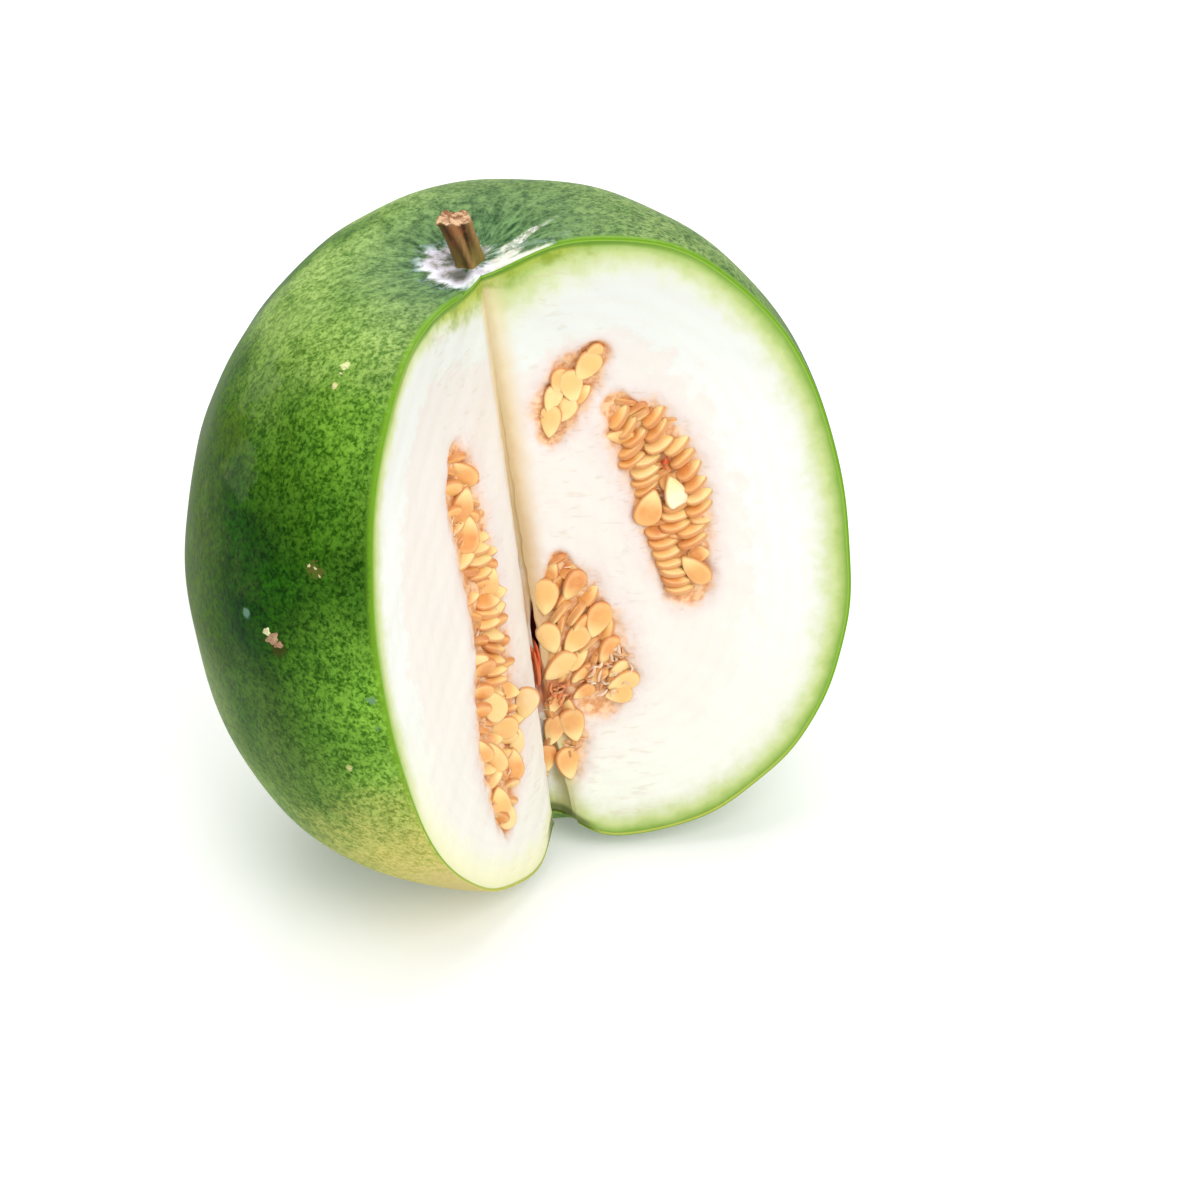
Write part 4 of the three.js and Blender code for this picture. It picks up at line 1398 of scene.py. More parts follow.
@dataclass
class Fruit:
    """Rind and flesh of the cut melon, both worked out from one set of rays from the heart."""

    form: MelonForm
    notch: Notch
    stance: Stance
    rind_thickness: float = 1.1
    rows: int = 230
    skin_columns: int = 176
    back_columns: int = 44
    face_columns: int = 116
    edge_dip: float = 0.5
    edge_width: float = 2.2
    lip_flare: float = 0.12
    lip_turn: float = 0.4
    to_top: float = 104.0
    to_base: float = 92.0
    end_rows: float = 9.0
    body_rows: float = 12.0
    dip_columns: float = 3.0
    lip_share: float = 0.04
    rim_share: float = 0.93
    gutter_rough: tuple = (0.35, 3.0, 5)
    gutter_grooves: tuple = (0.25, 1.6, 6)
    bed_softness: tuple = (0.45, 1.25)
    bed_border: tuple = ((0.16, 4.0, 3), (0.08, 1.8, 4))
    bed_floor: tuple = ((0.45, 2.4, 8), (0.3, 1.3, 9))
    face_waves: tuple = (9.0, 40.0, 7, 21)
    face_unevenness: float = 0.22

    def rays(self, azimuth: Array) -> tuple[Array, Array, Array]:
        """Rays from the heart: directions, and the radius of the skin along them.

        A direction is sin(polar) · heading(azimuth) + cos(polar) · root direction, at length one.

        Args:
            azimuth: Azimuths in radians, one a column.

        Returns:
            Polar angles of the rows, unit directions and radii.
        """
        first = math.asin(self.notch.gutter_top / self.to_top)
        last = math.pi - math.asin(self.notch.gutter_bottom / self.to_base)
        polar = np.linspace(first, last, self.rows)
        sine, cosine = np.sin(polar)[:, None, None], np.cos(polar)[:, None, None]
        directions = unit(sine * self.notch.heading(azimuth)[None] + cosine * self.notch.up)
        return polar, directions, self.form.reach(self.notch.heart, directions)

    def rind(self) -> Piece:
        """The rind: a thin closed shell whose cut edges show along both faces and the gutter.

        Returns:
            The piece.
        """
        _, directions, radius = self.rays(round_the_back(self.skin_columns))
        heart = self.notch.heart
        outer, inner = (
            self.stance.place(heart + (radius - depth)[..., None] * directions, floor=depth)
            for depth in (0.0, self.rind_thickness)
        )
        skin = heart + radius[..., None] * directions
        left, right = (self.from_cut(side, skin) for side in Side)
        edge = np.minimum(left, right)
        surface = Surface()
        surface.add(outer, flip=True, depth=0.0, edge=edge, left=left)
        surface.add(inner, depth=self.rind_thickness, edge=edge, left=left)
        depths = np.array([[0.0], [self.rind_thickness]])
        for line, flip in ((np.s_[0], False), (np.s_[-1], True), (np.s_[:, 0], True), (np.s_[:, -1], False)):
            join = np.stack([outer[line], inner[line]])
            surface.add(join, flip=flip, depth=depths, edge=0.0, left=left[line])
        return surface.build("rind", sharp_degrees=50.0)

    def from_cut(self, side: Side, points: Array) -> Array:
        """Distance sqrt(min(s, 0)² + d²) from points to the half-plane of a cut, d being square to it."""
        offset = points - self.notch.root(points[..., 2])
        behind = np.minimum(offset @ self.notch.along(side), 0.0)
        return np.hypot(behind, offset @ self.notch.out(side))

    def gutter(self, azimuth: Array, inner: Array, polar: Array) -> tuple[Array, Array, Array]:
        """The gutter's surface as distances from the root line and along it.

        Each row's height runs as cos(polar) between the ends of the skin. The distance is the bowed circle
        with its lips flared, plus the slot, and it eases to the skin's own distance at both ends.

        Args:
            azimuth: Azimuths of the columns.
            inner: Offsets (away, up) of the flesh's outer surface.
            polar: Polar angles of the rows.

        Returns:
            Distances away from the root line, heights along it and the slot's share of its depth.
        """
        away_ends, up_ends = inner[..., 0], inner[..., 1]
        share = ((np.cos(polar) - np.cos(polar[-1])) / (np.cos(polar[0]) - np.cos(polar[-1])))[:, None]
        up = up_ends[-1] + (up_ends[0] - up_ends[-1]) * share
        height = self.notch.heart_height + up * self.notch.up[2]
        columns = np.broadcast_to(azimuth[None], up.shape)
        extra = self.notch.slot_reach(columns, height)
        lips = sum(np.exp(-gap / self.lip_turn) for gap in (azimuth - azimuth[0], azimuth[-1] - azimuth))
        away = self.notch.gutter_reach(columns, height) * (1.0 + self.lip_flare * lips) + extra
        points = self.notch.root(height) + away[..., None] * self.notch.heading(columns)
        away = away + roughness(points, self.gutter_rough)
        away = away + roughness(points * np.array([1, 1, 0.25]), self.gutter_grooves)
        row = np.arange(len(polar))[:, None]
        start, end = (1.0 - smooth_step(0.0, self.end_rows, rows) for rows in (row, len(polar) - 1.0 - row))
        away = away * (1.0 - start) * (1.0 - end) + away_ends[0] * start + away_ends[-1] * end
        return away, up, extra / self.notch.slot_depth

    def relief(self, side: Side, s: Array, z: Array, from_edge: Array) -> Array:
        """Height of a cut face over its plane: beds sink in, the edge by the gutter dips and the rest waves.

        Args:
            side: The cut face.
            s: Distances from the root.
            z: Heights.
            from_edge: Distances from the gutter's edge.

        Returns:
            Heights in millimetres, below zero into the flesh.
        """
        flat = np.stack([s, z, np.full_like(s, 17.0 * side.value[1])], axis=-1)
        share = self.notch.bed_share(side, s, z) + roughness(flat, *self.bed_border)
        sunk = 1.0 - smooth_step(*self.bed_softness, share)
        lift = sunk * (roughness(flat, *self.bed_floor) - self.notch.bed_depth)
        lift -= self.edge_dip * np.exp(-from_edge / self.edge_width)
        return lift + self.face_unevenness * ripples(flat, *self.face_waves) * smooth_step(0.0, 5.0, s)

    def flesh(self) -> Piece:
        """The flesh: both cut faces, the gutter with its slot, and the hidden surface under the rind.

        A face is the straight blend from the gutter's edge to the rind, row by row, raised by its relief.

        Returns:
            The piece.
        """
        notch, heart = self.notch, self.notch.heart
        azimuth = round_the_back(self.back_columns)
        polar, directions, radius = self.rays(azimuth)
        offset = (radius - self.rind_thickness)[..., None] * directions
        up = offset[..., 2] / notch.up[2]
        away = np.linalg.norm(offset - up[..., None] * notch.up, axis=-1)
        gutter_away, gutter_up, slot = self.gutter(azimuth, np.stack([away, up], axis=-1), polar)
        gutter = heart + gutter_up[..., None] * notch.up
        gutter = gutter + gutter_away[..., None] * notch.heading(azimuth)[None]
        row = np.arange(self.rows)
        body = smooth_step(0.0, self.body_rows, np.minimum(row, self.rows - 1.0 - row))[:, None]
        for column, side in ((0, RIGHT), (self.back_columns - 1, LEFT)):
            fade = np.exp(-np.abs(np.arange(self.back_columns) - column) / self.dip_columns)
            gutter = gutter - self.edge_dip * (body * fade)[..., None] * notch.out(side)
        surface = Surface()
        floor = self.rind_thickness
        turn = np.linspace(0.0, 1.0, self.back_columns)
        hidden = self.stance.place(heart + offset, floor=floor)
        surface.add(hidden, flip=True, depth=floor, bed=FAR, root=away, slot=0.0, turn=turn)
        depth = self.skin_gap(gutter)
        placed = self.stance.place(gutter, floor=floor)
        surface.add(placed, depth=depth, bed=FAR, root=gutter_away, slot=slot, turn=turn)
        share = np.linspace(0.0, 1.0, self.face_columns)[None, :]
        lip = 1.0 - smooth_step(0.0, self.lip_share, share)
        rim = 1.0 - smooth_step(self.rim_share, 1.0, share)
        for column, side in ((0, RIGHT), (-1, LEFT)):
            s = gutter_away[:, column, None] * (1.0 - share) + away[:, column, None] * share
            climb = gutter_up[:, column, None] * (1.0 - share) + up[:, column, None] * share
            z = notch.heart_height + climb * notch.up[2]
            lift = self.relief(side, s, z, s - s[:, :1]) * body * rim
            lift = lift * (1.0 - lip) - self.edge_dip * body * lip
            points = notch.on_face(side, s, z, lift)
            points[:, 0] = gutter[:, column]
            points[:, -1] = heart + offset[:, column]
            surface.add(
                self.stance.place(points, floor=floor),
                flip=side is LEFT,
                depth=self.skin_gap(points),
                bed=notch.bed_share(side, s, z),
                root=s,
                slot=0.0,
                turn=float(side is LEFT),
            )
        return surface.build("flesh", sharp_degrees=60.0)

    def skin_gap(self, points: Array) -> Array:
        """Distance from points to the skin along rays from the heart."""
        offset = points - self.notch.heart
        length = np.linalg.norm(offset, axis=-1)
        directions = offset / np.maximum(length, 1e-6)[..., None]
        return self.form.reach(self.notch.heart, directions) - length


# Seeds and pulp


@dataclass
class Seeds:
    """The seeds: flat ovals with one pointed end, laid flat or stacked on edge in the beds of both cut faces.

    A flat seed is (side, s, z, spin, size), and a raised one adds its lift and swing. A row of seeds on edge
    is (side, count, start, end), where each end is (s, z, spin). Spin is the heading of the pointed tip in
    degrees, from away from the root towards up. Whitish gives the whiteness of flat seeds by their number.
    """

    notch: Notch
    stance: Stance
    length: float = 12.6
    width: float = 8.0
    thickness: float = 2.6
    edge_swell: float = 1.3
    taper: float = 0.34
    around: int = 20
    flat_tilt: float = 24.0
    flat_lift: float = -0.9
    edge_lift: float = -1.3
    edge_size: float = 0.86
    edge_tilt: float = -72.0
    edge_sway: float = 15.0
    spin_wobble: float = 7.0
    loose_step: float = 3.6
    loose_start: int = 17
    left_swing: float = 42.0
    whitish: tuple = ((5, 1.0), (6, 0.9))
    flat: tuple = (
        (RIGHT, 30.2, 70.0, 229, 1.0), (RIGHT, 24.0, 64.0, 272, 1.0), (RIGHT, 17.4, 60.5, 244, 0.85),
        (RIGHT, 15.8, 52.8, 258, 0.95), (RIGHT, 44.0, 16.0, 69, 1.15, 0.2, 0.0),
        (RIGHT, 53.2, 20.4, 98, 1.05, 0.7, 0.0), (LEFT, 15.8, -39.4, 292, 0.98, 2.6, 66.0),
        (RIGHT, 57.0, -8.8, 124, 1.05, 0.9, 0.0), (RIGHT, 5.8, -10.3, 261, 1.1),
        (RIGHT, 15.6, -7.7, 234, 1.0), (RIGHT, 22.3, -22.0, 246, 1.1), (RIGHT, 5.1, -26.0, 280, 1.0),
        (RIGHT, 14.0, -28.3, 224, 0.95), (RIGHT, 7.4, -37.3, 214, 1.15), (RIGHT, 24.4, -34.3, 235, 1.0),
        (RIGHT, 28.0, -47.0, 192, 0.95), (RIGHT, 2.0, -61.0, 250, 0.95), (RIGHT, 8.6, -60.0, 276, 1.05),
        (RIGHT, -1.9, -71.2, 262, 0.9), (RIGHT, 4.9, -74.4, 271, 1.0), (RIGHT, 4.0, -50.5, 240, 0.7),
        (RIGHT, 25.9, -51.5, 176, 0.8), (RIGHT, 19.4, -42.7, 214, 0.7), (RIGHT, 14.2, -48.4, 200, 0.7),
        (RIGHT, 20.4, 66.0, 250, 0.8), (RIGHT, 32.5, 74.0, 222, 0.7), (RIGHT, 21.5, 56.0, 236, 0.8),
        (LEFT, 28.5, 52.5, 60, 1.05), (LEFT, 32.0, 42.5, 107, 1.05), (LEFT, 31.5, 32.0, 105, 1.05),
        (LEFT, 22.0, 9.0, 112, 0.85), (LEFT, 32.2, -30.5, 64, 1.15), (LEFT, 28.1, -41.8, 15, 1.0),
        (LEFT, 36.2, -48.1, 81, 1.05), (LEFT, 25.0, -58.0, 96, 1.0), (LEFT, 37.2, -64.6, 92, 1.0),
        (LEFT, 20.7, -51.8, 100, 0.8), (LEFT, 43.0, -41.1, 70, 0.8), (LEFT, 34.0, -71.5, 92, 0.9),
    )
    on_edge: tuple = (
        (RIGHT, 3, (38.3, 50.0, 50), (42.8, 42.0, 24)), (RIGHT, 2, (40.8, 38.0, 26), (40.4, 34.0, 20)),
        (RIGHT, 3, (45.0, 33.5, 2), (44.2, 26.0, 6)), (RIGHT, 4, (46.3, 6.7, -4), (49.0, -5.1, -10)),
        (RIGHT, 3, (49.3, -8.5, -20), (50.5, -15.5, -10)), (RIGHT, 3, (49.7, 48.4, 44), (50.0, 38.2, 14)),
        (RIGHT, 4, (55.9, 36.7, 30), (60.3, 22.5, 24)), (RIGHT, 2, (60.8, 17.5, 12), (60.5, 13.0, 8)),
        (RIGHT, 3, (53.2, 15.6, 2), (51.8, 8.2, -5)), (RIGHT, 2, (57.0, 5.5, 12), (57.0, 1.4, 6)),
        (RIGHT, 2, (9.8, -17.4, 226), (15.6, -18.6, 230)), (LEFT, 3, (27.5, 25.0, 200), (28.0, 16.5, 196)),
        (LEFT, 3, (26.0, 4.5, 205), (28.0, -2.0, 200)), (LEFT, 5, (25.6, -8.0, 218), (29.4, -23.0, 205)),
    )

    @staticmethod
    def wobble(number: Array, channel: int) -> Array:
        """Repeatable draws from -1 to 1 by number n and channel c.

        A draw is twice the fraction of 43758.5453 sin(12.9898 n + 78.233 c), less 1.
        """
        wave = np.sin(number * 12.9898 + channel * 78.233) * 43758.5453
        return 2.0 * (wave - np.floor(wave)) - 1.0

    def swing(self, side: Side) -> float:
        """Turn of the seeds of a face about the root line, towards the open side, in degrees."""
        return self.left_swing if side is LEFT else 0.0

    def listing(self) -> dict[str, Array]:
        """Gathers the flat seeds, the rows on edge and the loose ones.

        Returns:
            Arrays by name: place, spin, size, tilt about the long axis, lift, swing, whiteness and more.
        """
        rows = []
        for number, (side, s, z, spin, size, *raised) in enumerate(self.flat):
            lift, swing = raised or (self.flat_lift, self.swing(side))
            tilt = self.flat_tilt * self.wobble(number, 3)
            rows.append((side, s, z, spin, size, tilt, lift, swing, dict(self.whitish).get(number, 0.0), 0.4))
        for side, count, start, end in self.on_edge:
            for share in np.linspace(0.0, 1.0, count):
                s, z, spin = (a + (b - a) * share for a, b in zip(start, end))
                tilt = self.edge_tilt + self.edge_sway * self.wobble(len(rows), 2)
                laid = (self.edge_size, tilt, self.edge_lift, self.swing(side), 0.0, 1.0)
                rows.append((side, s, z, spin, *laid))
        rows += self.loose(np.array([row[1:3] for row in rows]), [row[0] for row in rows])
        names = ("s", "z", "spin", "size", "tilt", "lift", "swing", "white", "loose")
        table = dict(zip(names, np.array([row[1:] for row in rows], dtype=float).T))
        table["right"] = np.array([row[0] is RIGHT for row in rows])
        table["number"] = np.arange(len(rows), dtype=float)
        return table

    def loose(self, taken: Array, sides: list[Side]) -> list[tuple]:
        """Small seeds that lie deeper in the beds, wherever a listed one leaves room.

        Args:
            taken: Places (s, z) of the listed seeds.
            sides: Their faces.

        Returns:
            Rows as in the listing.
        """
        draw = np.random.default_rng(self.loose_start)
        rows = []
        for bed in self.notch.beds:
            line = np.array(bed.line, dtype=float)
            span = np.concatenate([[0.0], np.cumsum(np.hypot(*np.diff(line[:, :2], axis=0).T))])
            here = np.array([side is bed.side for side in sides])
            spots = taken[here]
            for along in np.arange(1.5, span[-1] - 1.0, self.loose_step):
                s, z, half = (np.interp(along, span, line[:, column]) for column in range(3))
                ahead = [np.interp(along + 0.5, span, line[:, column]) for column in range(2)]
                run = unit(np.array(ahead) - np.array([s, z]))
                lanes = max(1, round(2.0 * half / 8.0))
                for lane in range(lanes):
                    aside = ((lane + 0.5) / lanes - 0.5) * 1.7 * half + draw.uniform(-1.6, 1.6)
                    spot = np.array([s, z]) + np.array([run[1], -run[0]]) * aside + draw.uniform(-1.2, 1.2, 2)
                    spin = bed.spin + draw.uniform(-28.0, 28.0) + 180.0 * draw.integers(0, 2)
                    size, tilt = draw.uniform(0.65, 0.95), -draw.uniform(20.0, 85.0)
                    lift = draw.uniform(-0.9, 0.1) - 0.45 * self.width * size * math.sin(math.radians(-tilt))
                    if np.hypot(*(spots - spot).T).min() < bed.room:
                        continue
                    spots = np.concatenate([spots, spot[None]])
                    rows.append((bed.side, *spot, spin, size, tilt, lift, self.swing(bed.side), 0.0, 1.0))
        return rows

    def bases(self, seeds: dict[str, Array]) -> tuple[Array, Array, Array, Array]:
        """Centre, pointed direction, side direction and normal of each seed, in the melon's frame.

        Args:
            seeds: The listing.

        Returns:
            Four arrays of one row a seed.
        """
        notch, number = self.notch, seeds["number"]
        side = seeds["right"][:, None]
        along = np.where(side, notch.along(RIGHT), notch.along(LEFT))
        out = np.where(side, notch.out(RIGHT), notch.out(LEFT))
        turn = np.radians(seeds["spin"] + self.spin_wobble * self.wobble(number, 1) * seeds["loose"])[:, None]
        pointed = along * np.cos(turn) + notch.up * np.sin(turn)
        normal = turned(out, pointed, np.radians(seeds["tilt"]))
        swing = -np.radians(seeds["swing"])
        normal = turned(normal, notch.up, swing)
        pointed = turned(pointed, notch.up, swing)
        normal = unit(normal - pointed * (normal * pointed).sum(axis=1, keepdims=True))
        centre = notch.root(seeds["z"]) + seeds["s"][:, None] * along + seeds["lift"][:, None] * out
        return centre, pointed, np.cross(normal, pointed), normal

    def template(self) -> tuple[Array, Array]:
        """One seed of unit length, width and thickness, as rings from the top centre to the bottom centre.

        The outline is (cos a, sin a · (1 - taper cos a)) with the tip drawn in. Its height is
        sqrt(1 - q^6) with a shallow groove inside the margin, where q is the share of the outline's radius.

        Returns:
            Points of rings × around × 3, and the share q of each ring.
        """
        half = np.array([0.0, 0.34, 0.6, 0.74, 0.86, 0.95, 0.99])
        share = np.concatenate([half, [1.0], half[::-1]])
        sign = np.concatenate([np.ones(len(half)), [0.0], -np.ones(len(half))])
        height = np.sqrt(1.0 - share**6) * (1.0 - 0.16 * bell(share - 0.72, 0.10)) * sign
        angle = np.linspace(0.0, 2.0 * np.pi, self.around, endpoint=False)
        narrow = (1.0 - self.taper * np.cos(angle)) * (1.0 - 0.30 * np.maximum(np.cos(angle), 0.0) ** 5)
        outline = np.stack([np.cos(angle) * (1.0 + 0.05 * np.cos(angle)), np.sin(angle) * narrow], axis=-1)
        height = np.broadcast_to(height[:, None, None], (len(share), self.around, 1))
        return 0.5 * np.concatenate([share[:, None, None] * outline[None], height], axis=-1), share

    def build(self) -> Piece:
        """All seeds as one mesh, each at its own place, gently bent and a little different in shape.

        Returns:
            The piece.
        """
        seeds = self.listing()
        centre, pointed, side, normal = self.bases(seeds)
        shape, share = self.template()
        number, count = seeds["number"], len(seeds["s"])
        size = seeds["size"]
        length = self.length * size * (1.0 + 0.04 * self.wobble(number, 5))
        width = self.width * size * (1.0 + 0.07 * self.wobble(number, 6))
        thick = self.thickness * size * (1.0 + 0.12 * self.wobble(number, 7))
        thick = thick * np.where(seeds["loose"] > 0.5, self.edge_swell, 1.0)
        x = shape[None, ..., 0] * length[:, None, None]
        y = shape[None, ..., 1] * width[:, None, None]
        bend = 0.010 * self.wobble(number, 8)[:, None, None] * (x**2 - 8.0)
        twist = 0.03 * self.wobble(number, 9)[:, None, None] * x * y / 4.0
        z = shape[None, ..., 2] * thick[:, None, None] + bend + twist
        points = (
            centre[:, None, None]
            + x[..., None] * pointed[:, None, None]
            + y[..., None] * side[:, None, None]
            + z[..., None] * normal[:, None, None]
        )
        placed = self.stance.place(points)
        shade = np.clip(0.42 + 0.44 * self.wobble(number, 10), 0.0, 0.9)
        shade = np.where(seeds["white"] > 0.5, seeds["white"], shade)
        surface = Surface()
        for index in range(count):
            surface.add(
                placed[index],
                ring=True,
                shade=shade[index],
                tip=2.0 * shape[..., 0],
                margin=np.broadcast_to(share[:, None], shape.shape[:2]),
            )
        return surface.build("seeds")


@dataclass
class Pulp:
    """Stringy pulp: short strands over the beds and longer ones down the torn slot."""

    notch: Notch
    stance: Stance
    stations: int = 7
    sides: int = 6
    seed: int = 31
    slot_count: int = 11
    tangles: tuple = (
        (24, ((17.0, 32.0), (-50.0, -32.0), (0.8, 1.0))),
        (16, ((16.0, 31.0), (-49.0, -34.0), (0.55, 0.75))),
        (16, ((1.5, 9.0), (-51.0, -44.0), (0.35, 0.65))),
        (3, ((50.2, 52.0), (29.0, 32.5), (0.0, 0.12))),
    )

    def strands(self) -> list[tuple]:
        """Short strands that cross the beds, drawn from a fixed seed.

        Returns:
            Face, start, end, bulge, radius and shade of each.
        """
        draw = np.random.default_rng(self.seed)
        found = []
        for bed in self.notch.beds:
            line = np.array(bed.line, dtype=float)
            span = np.hypot(*np.diff(line[:, :2], axis=0).T)
            for _ in range(int(span.sum() * 0.8)):
                place = draw.uniform(0.0, span.sum())
                index = min(int(np.searchsorted(np.cumsum(span), place)), len(span) - 1)
                share = (place - np.concatenate([[0.0], np.cumsum(span)])[index]) / span[index]
                middle = line[index] + (line[index + 1] - line[index]) * share
                aside = draw.choice([-1.0, 1.0]) * middle[2] * draw.uniform(0.1, 0.65)
                run = (line[index + 1] - line[index])[:2] / span[index]
                across = np.array([run[1], -run[0]])
                start = middle[:2] + across * aside
                angle = draw.uniform(-0.9, 0.9)
                heading = across * math.cos(angle) + run * math.sin(angle)
                reach = draw.uniform(2.0, 4.2)
                end = start + heading * reach * math.copysign(1.0, aside)
                bulge, radius = draw.uniform(0.1, 0.9), draw.uniform(0.14, 0.32)
                shade = draw.uniform(0.45, 1.0)
                found.append((bed.side, start, end, bulge, radius, shade))
        return found

    def tube(self, path: Array, radius: Array, across: Array, deep: Array) -> Array:
        """Rings radius · (across · cos a + deep · sin a) round a path.

        Args:
            path: Points of the path.
            radius: Radius at each point.
            across: Unit direction across the path.
            deep: Unit direction square to it.

        Returns:
            Grid of points.
        """
        angle = np.linspace(0.0, 2.0 * np.pi, self.sides, endpoint=False)
        ring = np.cos(angle)[:, None] * across + np.sin(angle)[:, None] * deep
        return path[:, None] + radius[:, None, None] * ring[None]

    def build(self) -> Piece:
        """All strands as one mesh.

        Returns:
            The piece.
        """
        surface = Surface()
        share = np.linspace(0.0, 1.0, self.stations)
        slim = np.sin(np.pi * share) ** 0.5
        slim[[0, -1]] = 0.0
        for number, (side, start, end, bulge, radius, shade) in enumerate(self.strands()):
            line = start + (end - start) * share[:, None]
            wave = 0.35 * np.sin(share * 7.0 + number)
            lift = -1.1 + bulge * np.sin(np.pi * share) - 0.6 * share
            path = self.notch.on_face(side, line[:, 0] + wave, line[:, 1], lift)
            out = self.notch.out(side)
            run = unit(path[-1] - path[0])
            grid = self.tube(path, radius * slim, unit(np.cross(run, out)), out)
            surface.add(self.stance.place(grid), ring=True, shade=shade)
        self.slot_strands(surface, share, slim)
        self.tangle(surface, share, slim)
        return surface.build("pulp")

    def tangle(self, surface: Surface, share: Array, slim: Array) -> None:
        """Adds curled strands: pale ones at the outer end of the centre bed, and redder ones below them.

        Args:
            surface: Surface that takes them.
            share: Stations from 0 to 1 along a strand.
            slim: Share of the radius at each station.
        """
        draw = np.random.default_rng(self.seed + 2)
        out = self.notch.out(RIGHT)
        for number, (s_range, z_range, shade_range) in self.tangles:
            for _ in range(number):
                s, z, angle = draw.uniform(*s_range), draw.uniform(*z_range), draw.uniform(0.0, 2.0 * math.pi)
                reach, curl = draw.uniform(3.0, 7.0), draw.uniform(-2.2, 2.2)
                bend = angle + curl * (share - 0.5)
                line_s = s + reach * (share - 0.5) * np.cos(bend)
                line_z = z + reach * (share - 0.5) * np.sin(bend)
                lift = draw.uniform(-1.2, 0.2) + draw.uniform(0.3, 1.4) * np.sin(np.pi * share)
                path = self.notch.on_face(RIGHT, line_s, line_z, lift)
                run = unit(path[-1] - path[0])
                radius = draw.uniform(0.32, 0.72) * slim
                grid = self.tube(path, radius, unit(np.cross(run, out)), out)
                surface.add(self.stance.place(grid), ring=True, shade=draw.uniform(*shade_range))

    def slot_strands(self, surface: Surface, share: Array, slim: Array) -> None:
        """Adds the orange-red strands that hang in the lower part of the slot.

        Args:
            surface: Surface that takes them.
            share: Stations from 0 to 1 along a strand.
            slim: Share of the radius at each station.
        """
        draw = np.random.default_rng(self.seed + 1)
        middle = np.array(MIDDLE)
        inward, sideways = -self.notch.heading(middle), self.notch.heading(middle + math.pi / 2.0)
        for _ in range(self.slot_count):
            top = draw.uniform(-30.0, -26.0)
            z = top - draw.uniform(13.0, 19.0) * share
            aside = draw.uniform(-2.4, 1.4) + draw.uniform(-0.7, 0.7) * share
            deep = draw.uniform(0.5, 4.5) - 1.6 * np.sin(np.pi * share)
            path = self.notch.root(z) + aside[:, None] * sideways + deep[:, None] * inward
            grid = self.tube(path, draw.uniform(0.6, 1.0) * slim, sideways, inward)
            surface.add(self.stance.place(grid), ring=True, shade=draw.uniform(0.0, 0.32))


# Stem stub


